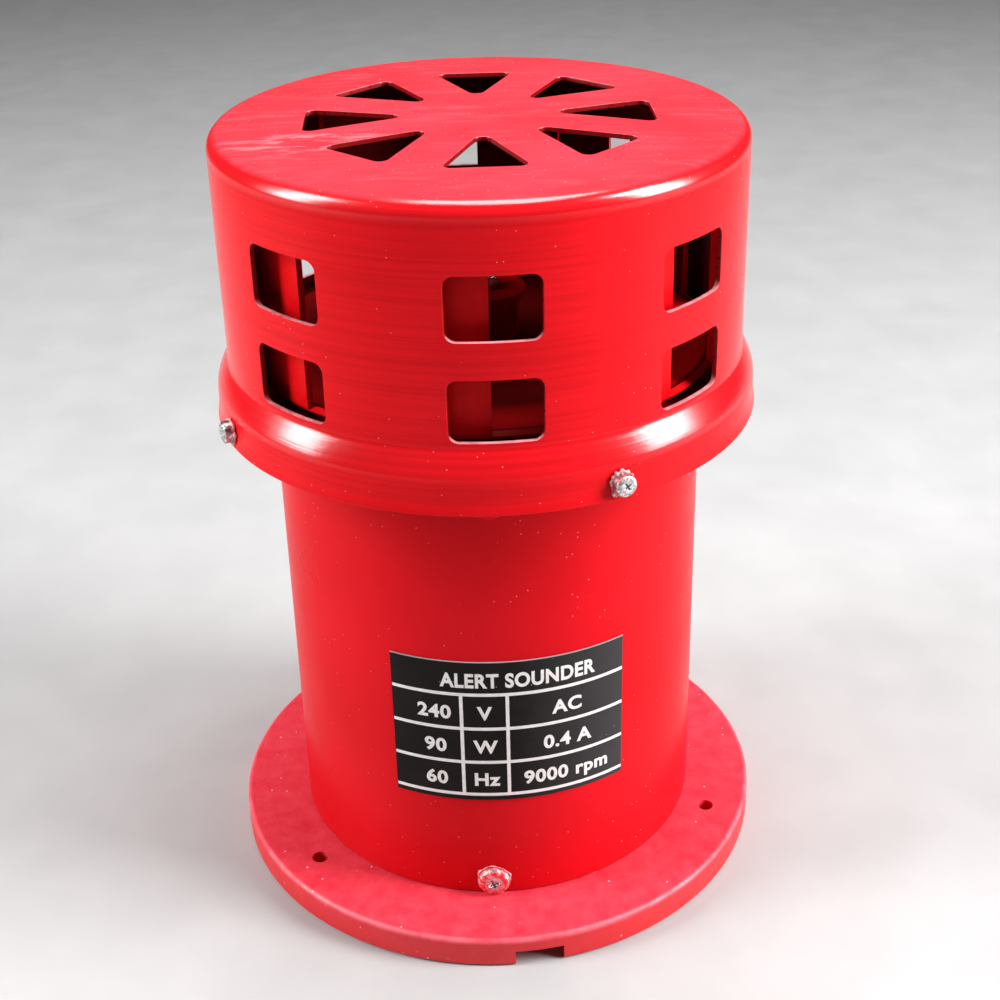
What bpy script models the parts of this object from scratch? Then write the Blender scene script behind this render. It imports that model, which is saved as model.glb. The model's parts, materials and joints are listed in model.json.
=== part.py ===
"""Motor-driven alarm siren, modelled as separate pieces.

Units in the constants are millimetres and degrees; MM turns them into metres.
The frame is +Z up, with the origin at the centre of the base's underside.
The front of the siren faces -Y. An azimuth is measured from the front, towards +X.
"""
import math

import bmesh
import bpy

MM = 0.001
GAP = 0.3                      # clearance between pieces that touch on the real siren
WELD = 0.00001                 # merge distance in metres, far below any feature
OVERCUT = 2.0                  # how far a cutter runs past the face it cuts
ROUND_STEPS = 40               # facets round a large shell
SMALL_STEPS = 20               # facets round a bearing, boss or hub
SCREW_STEPS = 8                # facets round a screw
HOLE_STEPS = 12                # facets round a fixing hole

# Base and tube
BASE_R = 59.5
BASE_T = 7.0
BASE_EDGE = 0.9
BASE_FOOT_EDGE = 0.5
SPIGOT_TOP = 20.0
SPIGOT_WALL = 3.5
TUBE_R = 45.0
TUBE_WALL = 1.2
BASE_HOLE_R = 1.75
BASE_HOLE_CIRCLE_R = 51.2
BASE_HOLE_AZ = (68.4, 188.4, 308.4)
CABLE_AZ = 7.4
CABLE_W = 10.3
CABLE_H = 3.75
CABLE_HOLE_R = 6.5
GROMMET_R = 6.1
GROMMET_FLANGE_R = 8.5
GROMMET_FLANGE_T = 2.0
GROMMET_BORE_R = 3.2
BASE_SCREW_Z = 10.7
BASE_SCREW_AZ = (-2.0, 118.0, 238.0)
PLATE_SCREW_Z = 103.0
PLATE_SCREW_AZ = (-0.8, 119.2, 239.2)
TUBE_SCREW_R = 1.45
TUBE_SCREW_HEAD = (3.5, 1.7)   # head radius and height
TUBE_SCREW_LENGTH = 6.2

# Rating label, wrapped on the tube
LABEL_AZ = (-28.0, 35.4)
LABEL_Z = (32.3, 66.8)
LABEL_T = 0.25
LABEL_STEPS = 16

# Motor plate, which closes the tube and carries the motor and the cap
PLATE_R = 54.5
PLATE_TOP = 114.0
PLATE_T = 1.6
PLATE_RIM_Z = 107.1
PLATE_COLLAR_Z = 94.0
PLATE_BORE_R = 15.0
PLATE_EDGE = 0.8
COLLAR_GAP = 0.4
COLLAR_WALL = 2.0

# Cap, with two rows of windows and a ring of vents
CAP_TOP = 164.7                # height of the rim; the middle is domed by CAP_CROWN
CAP_CROWN = 0.8
CAP_R = 53.4
CAP_WALL = 1.0
CAP_EDGE_R = 3.0
BEAD_TOP = 118.0
BEAD_Z = 113.8
BEAD_R = 56.0
SKIRT_R = 56.5
SKIRT_Z = 106.3
WINDOW_COUNT = 8
WINDOW_AZ = 1.6
WINDOW_W = 17.6
WINDOW_H = 12.35
WINDOW_Z = (125.8, 145.4)
WINDOW_CORNER_R = 2.0
VENT_APEX_R = 13.0
VENT_OUTER_R = 34.4
VENT_HALF_W = 8.4
VENT_CORNER_R = 1.7
CAP_SCREW_AZ = (25.6, 115.6, 205.6, 295.6)
CAP_SCREW_Z = 109.5
CAP_SCREW_R = 1.2
CAP_SCREW_HEAD = (2.25, 1.8)
CAP_SCREW_LENGTH = 5.4
CUT_DEPTH = 8.0                # thickness of the shapes that cut the windows and the vents

# Rotor: a disc with bent-up blades on a hub
ROTOR_R = 48.8
ROTOR_SHEET = 1.4
ROTOR_FLOOR_Z = 117.5
ROTOR_TOP = 157.0
BLADE_COUNT = 8
BLADE_EDGE_AZ = 0.8
BEND_R = 1.8
HUB_R = 7.0
HUB_FLANGE_R = 8.5
HUB_TOP = 129.3
HUB_SPIGOT_R = 5.2
HUB_SPIGOT_Z = 114.9
HUB_FLANGE_T = 1.5
CLAMP_RING_R = 9.5
GRUB_R = 1.5
GRUB_HALF = 1.6

# Motor shaft and armature
SHAFT_R = 4.0
SHAFT_END_R = 3.0
SHAFT_Z = (17.0, 132.2)
SHAFT_SHOULDER_Z = 114.5
STACK_Z = (58.0, 90.0)
ARMATURE_R = 17.9
ARMATURE_SLOTS = 12
SLOT_W = 3.6
SLOT_FLOOR_R = 10.5
WINDING_R = 16.4
WINDING_Z = (49.0, 95.0)
COMMUTATOR_R = 11.0
COMMUTATOR_Z = (37.0, 48.0)
COMMUTATOR_BARS = 12
COMMUTATOR_FLOOR_R = 10.1
COMMUTATOR_SLOT_W = 0.7

# Stator
STATOR_R = 33.0
STATOR_RING_R = 28.5
STATOR_BORE_R = 18.3
POLE_TIP_R = 20.0
POLE_TIP_ANGLE = 52.0
POLE_NECK_HALF = 8.0
LUG_HALF_W = 6.5
LUG_Y = 37.5
BOLT_Y = 33.6
BOLT_R = 2.0
COIL_X = (20.4, 23.4)
COIL_BAND = 7.0
COIL_CORNER_R = 4.0

# Brackets, bearings and brush gear
BRIDGE_W = 16.0
BRIDGE_T = 5.0
LEG_Y = 29.5
BOSS_R = 13.5
BEARING_R = 10.8
BEARING_H = 6.3
UPPER_BRIDGE_Z = 96.0
UPPER_BOSS_TOP = 110.5
UPPER_BEARING_Z = 102.4
LOWER_BRIDGE_Z = 26.5
LOWER_BOSS_Z = 18.4
LOWER_BEARING_Z = 19.8
RACE_INNER_R = 5.65
RACE_OUTER_R = 8.55
BALL_COUNT = 6
SHAFT_ROOM = 1.0               # gap between the shaft and the bracket it passes through
BALL_R = 1.3
CAGE_HALF = (0.5, 0.7)         # half width and half height of the cage
MOTOR_SCREW_Y = 24.0
MOTOR_SCREW_R = 1.5
MOTOR_SCREW_HEAD = (3.6, 2.2)
MOTOR_SCREW_LENGTH = 9.0
BOLT_HEAD = (3.5, 3.0)
BOLT_LENGTH = 71.5
PILLAR_R = 5.0
BRUSH_Z = 42.5
BRUSH_SIDE = 6.0
BRUSH_X = (11.3, 24.0)
HOLDER_WALL = 0.8
HOLDER_X = (13.0, 33.0)
ARM_HALF = (28.0, 7.0)         # half length and half width of the arm that carries the brush posts
POST_X = (19.5, 27.5)
POST_HALF_Y = 6.5
POST_TOP = 49.5
BRUSH_CAP_X = (33.3, 36.3)
BRUSH_CAP_R = 5.2
SPRING_X = (24.3, 33.0)
SPRING_R = 2.2
SPRING_WIRE_R = 0.35
SPRING_TURNS = 4
SPRING_STEPS = 6

# Supply terminals and suppression capacitor, on top of the base
TERMINAL_SIZE = (20.0, 12.0, 10.0)
TERMINAL_Y = 26.0
TERMINAL_SCREW_R = 1.4
TERMINAL_SCREW_HEAD = (2.6, 1.4)
TERMINAL_SCREW_LENGTH = 5.0
TERMINAL_WELL = 6.0
CAPACITOR_SIZE = (14.0, 7.0, 12.0)
CAPACITOR_Y = -26.0
LEAD_R = 0.8

TUBE_IN = TUBE_R - TUBE_WALL
SPIGOT_R = TUBE_IN - 0.5
TUBE_TOP = PLATE_TOP - PLATE_T - GAP


def clear_scene():
    for old in list(bpy.data.objects):
        bpy.data.objects.remove(old)


def make_collection(name):
    collection = bpy.data.collections.new(name)
    bpy.context.scene.collection.children.link(collection)
    return collection


def make_material(name, color, roughness, metallic=0.0):
    material = bpy.data.materials.new(name)
    material.use_nodes = True
    shader = material.node_tree.nodes["Principled BSDF"]
    shader.inputs["Base Color"].default_value = (*color, 1.0)
    shader.inputs["Roughness"].default_value = roughness
    shader.inputs["Metallic"].default_value = metallic
    return material


clear_scene()
SIREN = make_collection("alarm_siren")
CUTTERS = make_collection("cutters")

RED_PAINT = make_material("red_paint", (0.72, 0.012, 0.02), 0.3)
RED_MOULDING = make_material("red_moulding", (0.68, 0.016, 0.024), 0.5)
BLACK_LABEL = make_material("black_label", (0.02, 0.018, 0.017), 0.35)
STEEL = make_material("steel", (0.55, 0.55, 0.56), 0.3, 1.0)
LAMINATION = make_material("lamination", (0.25, 0.25, 0.27), 0.5, 1.0)
CAST_ALUMINIUM = make_material("cast_aluminium", (0.62, 0.62, 0.63), 0.5, 1.0)
COPPER = make_material("copper", (0.66, 0.25, 0.12), 0.35, 1.0)
BRASS = make_material("brass", (0.7, 0.48, 0.2), 0.35, 1.0)
CARBON = make_material("carbon", (0.03, 0.03, 0.03), 0.6)
RUBBER = make_material("rubber", (0.02, 0.02, 0.02), 0.8)
PLASTIC = make_material("plastic", (0.75, 0.73, 0.68), 0.5)


def polar(radius, azimuth):
    """The x and y of a point at a radius and an azimuth."""
    angle = math.radians(azimuth)
    return radius * math.sin(angle), -radius * math.cos(angle)


def arc(radius, start, end, steps, centre=(0.0, 0.0)):
    """Points of an arc, with ordinary anticlockwise angles in degrees from +X."""
    points = []
    for i in range(steps + 1):
        angle = math.radians(start + (end - start) * i / steps)
        points.append((centre[0] + radius * math.cos(angle), centre[1] + radius * math.sin(angle)))
    return points


def circle(radius, steps, centre=(0.0, 0.0)):
    return arc(radius, 0.0, 360.0, steps, centre)[:-1]


def rounded(corners, radius, steps=2):
    """A closed outline with each corner replaced by a tangent arc."""
    points = []
    count = len(corners)
    for i, corner in enumerate(corners):
        before = corners[i - 1]
        after = corners[(i + 1) % count]
        to_before = unit(before[0] - corner[0], before[1] - corner[1])
        to_after = unit(after[0] - corner[0], after[1] - corner[1])
        half = 0.5 * math.acos(to_before[0] * to_after[0] + to_before[1] * to_after[1])
        inward = unit(to_before[0] + to_after[0], to_before[1] + to_after[1])
        reach = radius / math.sin(half)
        centre = (corner[0] + inward[0] * reach, corner[1] + inward[1] * reach)
        cross = to_before[0] * inward[1] - to_before[1] * inward[0]
        half_turn = math.copysign(90.0 - math.degrees(half), -cross)
        middle = math.degrees(math.atan2(-inward[1], -inward[0]))
        points += arc(radius, middle - half_turn, middle + half_turn, steps, centre)
    return points


def unit(x, y):
    length = math.hypot(x, y)
    return x / length, y / length


def rectangle(x_low, x_high, y_low, y_high):
    return [(x_low, y_low), (x_high, y_low), (x_high, y_high), (x_low, y_high)]


def add_object(name, data, material=None, parent=None, collection=None):
    piece = bpy.data.objects.new(name, data)
    (collection or SIREN).objects.link(piece)
    if material is not None:
        piece.data.materials.append(material)
    piece.parent = parent
    return piece


def as_cutter(piece):
    """Keep a shape out of the model: it only cuts or joins other pieces."""
    piece.hide_render = True
    piece.display_type = "WIRE"
    return piece


def turned(name, profile, material=None, parent=None, steps=ROUND_STEPS, collection=None):
    """A turned piece. The profile runs down its outer side, and closes unless it starts on the axis."""
    closed = profile[0][0] > 0.0
    count = len(profile)
    edges = [(i, i + 1) for i in range(count - 1)]
    if closed:
        edges.append((count - 1, 0))
    mesh = bpy.data.meshes.new(name)
    mesh.from_pydata([(r * MM, 0.0, z * MM) for r, z in profile], edges, [])
    piece = add_object(name, mesh, material, parent, collection)
    screw = piece.modifiers.new("turn", "SCREW")
    screw.axis = "Z"
    screw.angle = math.radians(360.0)
    screw.steps = steps
    screw.render_steps = steps
    screw.use_merge_vertices = True
    screw.merge_threshold = WELD
    return piece


def ring(name, r_in, r_out, z_low, z_high, material, parent=None, steps=SMALL_STEPS):
    profile = [(r_out, z_high), (r_out, z_low), (r_in, z_low), (r_in, z_high)]
    return turned(name, profile, material, parent, steps)


def bar(name, size, centre, material=None, parent=None, collection=None, bevel=0.0):
    """A block of a given size about a centre, with an optional bevel on its edges."""
    mesh = bpy.data.meshes.new(name)
    shape = bmesh.new()
    bmesh.ops.create_cube(shape, size=1.0)
    bmesh.ops.scale(shape, vec=[side * MM for side in size], verts=shape.verts)
    shape.to_mesh(mesh)
    shape.free()
    piece = add_object(name, mesh, material, parent, collection)
    piece.location = [value * MM for value in centre]
    if bevel:
        edge = piece.modifiers.new("edges", "BEVEL")
        edge.width = bevel * MM
        edge.segments = 1
    return piece


def rod(name, radius, z_low, z_high, xy=(0.0, 0.0), collection=None, steps=SMALL_STEPS):
    """An upright cylinder."""
    mesh = bpy.data.meshes.new(name)
    shape = bmesh.new()
    bmesh.ops.create_cone(shape, cap_ends=True, segments=steps, radius1=radius * MM,
                          radius2=radius * MM, depth=(z_high - z_low) * MM)
    shape.to_mesh(mesh)
    shape.free()
    piece = add_object(name, mesh, collection=collection)
    piece.location = (xy[0] * MM, xy[1] * MM, (z_low + z_high) / 2.0 * MM)
    return piece


def flat_outline(name, outlines, thickness, material=None, parent=None, collection=None):
    """A plate cut to closed outlines, centred on its own XY plane."""
    curve = bpy.data.curves.new(name, "CURVE")
    curve.dimensions = "2D"
    curve.fill_mode = "BOTH"
    curve.extrude = thickness / 2.0 * MM
    for outline in outlines:
        spline = curve.splines.new("POLY")
        spline.points.add(len(outline) - 1)
        for point, (x, y) in zip(spline.points, outline):
            point.co = (x * MM, y * MM, 0.0, 1.0)
        spline.use_cyclic_u = True
    return add_object(name, curve, material, parent, collection)


def to_mesh(piece):
    """Replace a curve piece with the mesh it makes, so that it can be cut or can cut."""
    bpy.context.view_layer.update()
    evaluated = piece.evaluated_get(bpy.context.evaluated_depsgraph_get())
    mesh = bpy.data.meshes.new_from_object(evaluated)
    shape = bmesh.new()
    shape.from_mesh(mesh)
    bmesh.ops.remove_doubles(shape, verts=shape.verts, dist=WELD)
    bmesh.ops.recalc_face_normals(shape, faces=shape.faces)
    shape.to_mesh(mesh)
    shape.free()
    name = piece.name
    solid = bpy.data.objects.new(name, mesh)
    for collection in piece.users_collection:
        collection.objects.link(solid)
    solid.parent = piece.parent
    solid.matrix_world = piece.matrix_world
    bpy.data.objects.remove(piece)
    solid.name = name
    return solid


def join_shapes(name, pieces):
    """Merge several shapes' meshes into one cutter, each kept where it stands."""
    bpy.context.view_layer.update()
    merged = bmesh.new()
    for piece in pieces:
        mesh = piece.data.copy()
        mesh.transform(piece.matrix_world)
        merged.from_mesh(mesh)
        bpy.data.meshes.remove(mesh)
        bpy.data.objects.remove(piece)
    mesh = bpy.data.meshes.new(name)
    merged.to_mesh(mesh)
    merged.free()
    return as_cutter(add_object(name, mesh, collection=CUTTERS))


def combine(piece, operation, *others):
    """Cut other shapes out of a piece, or join them to it."""
    for other in others:
        as_cutter(other)
        boolean = piece.modifiers.new(other.name, "BOOLEAN")
        boolean.operation = operation
        boolean.solver = "EXACT"
        boolean.object = other
    return piece


def face_outwards(piece, radius, azimuth, height):
    """Stand a piece's +Z outwards at a radius, with its +Y up."""
    x, y = polar(radius, azimuth)
    piece.location = (x * MM, y * MM, height * MM)
    piece.rotation_euler = (math.radians(90.0), 0.0, math.radians(azimuth))
    return piece


def radial_holes(name, radius, azimuths, height, r_low, r_high):
    """Round cutters that run outwards at several azimuths."""
    middle = (r_low + r_high) / 2.0
    half = (r_high - r_low) / 2.0
    holes = []
    for azimuth in azimuths:
        hole = rod("hole", radius, -half, half, collection=CUTTERS, steps=SCREW_STEPS)
        holes.append(face_outwards(hole, middle, azimuth, height))
    return join_shapes(name, holes)


def screw(name, head, shank_r, length, parent, domed=True):
    """A screw along +Z whose head, given by radius and height, rests on its own XY plane."""
    head_r, head_h = head
    shoulder = 0.55 * head_r if domed else head_r - 0.3
    rim = 0.45 * head_h if domed else head_h - 0.3
    profile = [(0.0, head_h), (shoulder, head_h), (head_r, rim), (head_r, 0.0), (shank_r, 0.0),
               (shank_r, 0.8 - length), (0.4 * shank_r, -length), (0.0, -length)]
    return turned(name, profile, STEEL, parent, SCREW_STEPS)


def make_base(parent):
    rounding = 0.3 * BASE_EDGE
    inside = SPIGOT_R - SPIGOT_WALL
    profile = [(SPIGOT_R, SPIGOT_TOP), (SPIGOT_R, BASE_T), (BASE_R - BASE_EDGE, BASE_T),
               (BASE_R - rounding, BASE_T - rounding), (BASE_R, BASE_T - BASE_EDGE),
               (BASE_R, BASE_FOOT_EDGE), (BASE_R - BASE_FOOT_EDGE, 0.0), (CABLE_HOLE_R, 0.0),
               (CABLE_HOLE_R, BASE_T), (inside, BASE_T), (inside, SPIGOT_TOP)]
    base = turned("base_plate", profile, RED_MOULDING, parent)
    channel = bar("cable_channel", (CABLE_W, BASE_R, 2.0 * CABLE_H), (0.0, 0.0, 0.0),
                  collection=CUTTERS)
    x, y = polar(BASE_R / 2.0 + 2.0 * OVERCUT, CABLE_AZ)
    channel.location = (x * MM, y * MM, 0.0)
    channel.rotation_euler.z = math.radians(CABLE_AZ)
    floor_holes = []
    for azimuth in BASE_HOLE_AZ:
        floor_holes.append(rod("hole", BASE_HOLE_R, -OVERCUT, BASE_T + OVERCUT,
                               polar(BASE_HOLE_CIRCLE_R, azimuth), CUTTERS, HOLE_STEPS))
    fixing_holes = join_shapes("base_fixing_holes", floor_holes)
    screw_holes = radial_holes("spigot_holes", TUBE_SCREW_R + GAP, BASE_SCREW_AZ, BASE_SCREW_Z,
                               SPIGOT_R - 2.0 * SPIGOT_WALL, SPIGOT_R + OVERCUT)
    combine(base, "DIFFERENCE", channel, fixing_holes, screw_holes)

    seat = BASE_T + GAP
    bottom = CABLE_H + GAP
    top = seat + GROMMET_FLANGE_T
    grommet = [(GROMMET_FLANGE_R, top), (GROMMET_FLANGE_R, seat), (GROMMET_R, seat),
               (GROMMET_R, bottom), (GROMMET_BORE_R, bottom), (GROMMET_BORE_R, top)]
    turned("cable_grommet", grommet, RUBBER, parent, SMALL_STEPS)


def make_tube(parent):
    tube = ring("body_tube", TUBE_IN, TUBE_R, BASE_T + GAP, TUBE_TOP, RED_PAINT, parent, ROUND_STEPS)
    rows = (("base", BASE_SCREW_AZ, BASE_SCREW_Z), ("plate", PLATE_SCREW_AZ, PLATE_SCREW_Z))
    for row, azimuths, height in rows:
        holes = radial_holes(f"tube_{row}_holes", TUBE_SCREW_R + 1.5 * GAP, azimuths, height,
                             TUBE_IN - OVERCUT, TUBE_R + OVERCUT)
        combine(tube, "DIFFERENCE", holes)
        for i, azimuth in enumerate(azimuths):
            fixing = screw(f"{row}_screw_{i + 1}", TUBE_SCREW_HEAD, TUBE_SCREW_R,
                           TUBE_SCREW_LENGTH, parent)
            face_outwards(fixing, TUBE_R + GAP, azimuth, height)


def make_label(parent):
    """A thin printed plate that wraps part of the tube."""
    radius = (TUBE_R + GAP + LABEL_T) * MM
    ends = [(radius, 0.0, LABEL_Z[1] * MM), (radius, 0.0, LABEL_Z[0] * MM)]
    mesh = bpy.data.meshes.new("rating_label")
    mesh.from_pydata(ends, [(0, 1)], [])
    label = add_object("rating_label", mesh, BLACK_LABEL, parent)
    label.rotation_euler.z = math.radians(LABEL_AZ[0] - 90.0)
    sweep = label.modifiers.new("wrap", "SCREW")
    sweep.angle = math.radians(LABEL_AZ[1] - LABEL_AZ[0])
    sweep.steps = LABEL_STEPS
    sweep.render_steps = LABEL_STEPS
    sweep.merge_threshold = WELD
    sheet = label.modifiers.new("sheet", "SOLIDIFY")
    sheet.thickness = LABEL_T * MM
    sheet.offset = -1.0


def make_motor_plate(parent):
    """A dished plate: its rim carries the cap, and its collar fits into the tube."""
    under = PLATE_TOP - PLATE_T
    collar_r = TUBE_IN - COLLAR_GAP
    collar_in = collar_r - COLLAR_WALL
    rim_in = PLATE_R - PLATE_T
    profile = [(PLATE_R - PLATE_EDGE, PLATE_TOP), (PLATE_R, PLATE_TOP - PLATE_EDGE),
               (PLATE_R, PLATE_RIM_Z), (rim_in, PLATE_RIM_Z), (rim_in, under), (collar_r, under),
               (collar_r, PLATE_COLLAR_Z), (collar_in, PLATE_COLLAR_Z), (collar_in, under),
               (PLATE_BORE_R, under), (PLATE_BORE_R, PLATE_TOP)]
    plate = turned("motor_plate", profile, RED_PAINT, parent)
    collar = radial_holes("collar_holes", TUBE_SCREW_R + GAP, PLATE_SCREW_AZ, PLATE_SCREW_Z,
                          collar_in - OVERCUT, collar_r + OVERCUT)
    rim = radial_holes("rim_holes", CAP_SCREW_R + GAP, CAP_SCREW_AZ, CAP_SCREW_Z,
                       rim_in - OVERCUT, PLATE_R + OVERCUT)
    motor = join_shapes("motor_fixing_holes", [
        rod("hole", MOTOR_SCREW_R + 2.0 * GAP, under - OVERCUT, PLATE_TOP + OVERCUT,
            (0.0, side * MOTOR_SCREW_Y), CUTTERS, SCREW_STEPS)
        for side in (-1.0, 1.0)])
    combine(plate, "DIFFERENCE", collar, rim, motor)


def window_cutters():
    corners = rectangle(-WINDOW_W / 2.0, WINDOW_W / 2.0, -WINDOW_H / 2.0, WINDOW_H / 2.0)
    outline = rounded(corners, WINDOW_CORNER_R)
    windows = []
    for height in WINDOW_Z:
        for i in range(WINDOW_COUNT):
            window = to_mesh(flat_outline("window", [outline], CUT_DEPTH, collection=CUTTERS))
            windows.append(face_outwards(window, CAP_R, WINDOW_AZ + i * 360.0 / WINDOW_COUNT, height))
    return join_shapes("windows", windows)


def vent_cutters():
    corners = [(0.0, -VENT_APEX_R), (-VENT_HALF_W, -VENT_OUTER_R), (VENT_HALF_W, -VENT_OUTER_R)]
    outline = rounded(corners, VENT_CORNER_R)
    vents = []
    for i in range(WINDOW_COUNT):
        vent = to_mesh(flat_outline("vent", [outline], CUT_DEPTH, collection=CUTTERS))
        vent.location.z = CAP_TOP * MM
        vent.rotation_euler.z = math.radians(WINDOW_AZ + i * 360.0 / WINDOW_COUNT)
        vents.append(vent)
    return join_shapes("vents", vents)


def make_cap(parent):
    """A spun sheet cap. Its profile goes down the outside, round the skirt and back up inside."""
    inner = CAP_R - CAP_WALL
    edge = CAP_EDGE_R
    edge_centre = (CAP_R - edge, CAP_TOP - edge)
    shoulder_z = BEAD_TOP - 2.7

    def dome(height):
        """The slightly domed top, from the axis towards the rim."""
        rings = (0.0, 0.4, 0.75)
        return [(share * edge_centre[0], height + CAP_CROWN * (1.0 - share ** 2)) for share in rings]

    profile = dome(CAP_TOP)
    profile += arc(edge, 90.0, 0.0, 3, edge_centre)
    profile += [(CAP_R, BEAD_TOP), (CAP_R + 1.5, BEAD_TOP - 0.8), (BEAD_R - 0.2, shoulder_z),
                (BEAD_R, BEAD_Z), (SKIRT_R, SKIRT_Z + 0.5), (SKIRT_R - 0.3, SKIRT_Z),
                (SKIRT_R - CAP_WALL, SKIRT_Z + 0.3), (BEAD_R - CAP_WALL, BEAD_Z),
                (BEAD_R - 1.6, shoulder_z), (inner, BEAD_TOP - 0.8)]
    profile += arc(edge - CAP_WALL, 0.0, 90.0, 2, edge_centre)
    profile += dome(CAP_TOP - CAP_WALL)[::-1]
    cap = turned("siren_cap", profile, RED_PAINT, parent)
    screws = radial_holes("skirt_holes", CAP_SCREW_R + GAP, CAP_SCREW_AZ, CAP_SCREW_Z,
                          BEAD_R - CAP_WALL - OVERCUT, SKIRT_R + OVERCUT)
    combine(cap, "DIFFERENCE", window_cutters(), vent_cutters(), screws)
    for i, azimuth in enumerate(CAP_SCREW_AZ):
        fixing = screw(f"cap_screw_{i + 1}", CAP_SCREW_HEAD, CAP_SCREW_R, CAP_SCREW_LENGTH, parent,
                       domed=False)
        face_outwards(fixing, BEAD_R + 2.0 * GAP, azimuth, CAP_SCREW_Z)


def make_rotor_drum(parent):
    """A disc whose edge is bent up into blades, made as a cup with the gaps cut out of its wall."""
    floor_top = ROTOR_FLOOR_Z + ROTOR_SHEET
    wall_in = ROTOR_R - ROTOR_SHEET
    outer_bend = arc(BEND_R, 0.0, -90.0, 3, (ROTOR_R - BEND_R, ROTOR_FLOOR_Z + BEND_R))
    inner_bend = arc(BEND_R - ROTOR_SHEET, -90.0, 0.0, 2, (ROTOR_R - BEND_R, ROTOR_FLOOR_Z + BEND_R))
    bore = HUB_SPIGOT_R + GAP
    profile = [(ROTOR_R, ROTOR_TOP)] + outer_bend + [(bore, ROTOR_FLOOR_Z), (bore, floor_top)]
    profile += inner_bend + [(wall_in, ROTOR_TOP)]
    drum = turned("rotor_drum", profile, RED_PAINT, parent)
    pitch = 360.0 / BLADE_COUNT
    gap_w = 2.0 * ROTOR_R * math.sin(math.radians(pitch / 4.0))
    gap_h = ROTOR_TOP - floor_top + OVERCUT
    gaps = []
    for i in range(BLADE_COUNT):
        gap = bar("gap", (gap_w, gap_h, CUT_DEPTH), (0.0, 0.0, 0.0), collection=CUTTERS)
        azimuth = BLADE_EDGE_AZ + pitch / 4.0 + i * pitch
        gaps.append(face_outwards(gap, ROTOR_R - 1.0, azimuth, floor_top + gap_h / 2.0))
    combine(drum, "DIFFERENCE", join_shapes("blade_gaps", gaps))


def make_rotor_hub(parent):
    bore = SHAFT_END_R + GAP
    seat = ROTOR_FLOOR_Z + ROTOR_SHEET + GAP
    neck_top = HUB_TOP - HUB_FLANGE_T
    profile = [(HUB_FLANGE_R, HUB_TOP), (HUB_FLANGE_R, neck_top), (HUB_R, neck_top), (HUB_R, seat),
               (HUB_SPIGOT_R, seat), (HUB_SPIGOT_R, HUB_SPIGOT_Z), (bore, HUB_SPIGOT_Z),
               (bore, HUB_TOP)]
    hub = turned("rotor_hub", profile, RED_PAINT, parent, SMALL_STEPS)
    grub_z = (seat + neck_top) / 2.0
    hole = radial_holes("grub_hole", GRUB_R + GAP, (90.0,), grub_z, bore - GAP, HUB_R + OVERCUT)
    combine(hub, "DIFFERENCE", hole)
    ring("hub_clamp_ring", HUB_SPIGOT_R + GAP, CLAMP_RING_R, HUB_SPIGOT_Z, ROTOR_FLOOR_Z - GAP,
         STEEL, parent)
    profile = [(0.0, GRUB_HALF), (GRUB_R, GRUB_HALF), (GRUB_R, -0.75 * GRUB_HALF),
               (0.5 * GRUB_R, -GRUB_HALF), (0.0, -GRUB_HALF)]
    grub = turned("hub_grub_screw", profile, STEEL, parent, SCREW_STEPS)
    face_outwards(grub, bore + GRUB_HALF + GAP, 90.0, grub_z)


def slotted_outline(radius, floor_r, count, width):
    """A round outline with straight slots cut into it."""
    points = []
    pitch = 360.0 / count
    rim = math.degrees(math.asin(width / 2.0 / radius))
    floor = math.degrees(math.asin(width / 2.0 / floor_r))
    for i in range(count):
        start = i * pitch
        points += arc(floor_r, start - floor, start + floor, 1)
        points += arc(radius, start + rim, start + pitch - rim, 2)
    return points


def make_armature(parent):
    foot, tip = SHAFT_Z
    profile = [(0.0, tip), (SHAFT_END_R - 0.5, tip), (SHAFT_END_R, tip - 0.5),
               (SHAFT_END_R, SHAFT_SHOULDER_Z), (SHAFT_R, SHAFT_SHOULDER_Z), (SHAFT_R, foot),
               (0.0, foot)]
    turned("motor_shaft", profile, STEEL, parent, SMALL_STEPS)

    bore = circle(SHAFT_R + GAP, 16)
    stack_h = STACK_Z[1] - STACK_Z[0]
    outline = slotted_outline(ARMATURE_R, SLOT_FLOOR_R, ARMATURE_SLOTS, SLOT_W)
    core = flat_outline("armature_core", [outline, bore], stack_h, LAMINATION, parent)
    core.location.z = sum(STACK_Z) / 2.0 * MM

    end_r = SHAFT_R + 1.2
    winding = turned("armature_winding", [
        (WINDING_R - 2.5, WINDING_Z[1]), (WINDING_R, WINDING_Z[1] - 2.0), (WINDING_R, STACK_Z[1] + GAP),
        (end_r, STACK_Z[1] + GAP), (end_r, WINDING_Z[1])], COPPER, parent, SMALL_STEPS)
    lower_end = turned("winding_lower_end", [
        (WINDING_R, STACK_Z[0] - GAP), (WINDING_R, WINDING_Z[0] + 4.0), (WINDING_R - 3.0, WINDING_Z[0]),
        (end_r, WINDING_Z[0]), (end_r, STACK_Z[0] - GAP)], None, None, SMALL_STEPS, CUTTERS)
    bars = []
    bar_low = SLOT_FLOOR_R + GAP
    bar_high = WINDING_R - 0.5
    middle = (bar_low + bar_high) / 2.0
    size = (SLOT_W - 2.0 * GAP, stack_h + OVERCUT, bar_high - bar_low)
    for i in range(ARMATURE_SLOTS):
        conductor = bar("conductor", size, (0.0, 0.0, 0.0), collection=CUTTERS)
        azimuth = 90.0 + i * 360.0 / ARMATURE_SLOTS
        bars.append(face_outwards(conductor, middle, azimuth, sum(STACK_Z) / 2.0))
    combine(winding, "UNION", join_shapes("conductors", bars), lower_end)

    low, high = COMMUTATOR_Z
    segments = slotted_outline(COMMUTATOR_R, COMMUTATOR_FLOOR_R, COMMUTATOR_BARS, COMMUTATOR_SLOT_W)
    commutator = flat_outline("commutator", [segments, bore], high - low, COPPER, parent)
    commutator.location.z = (low + high) / 2.0 * MM


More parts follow.
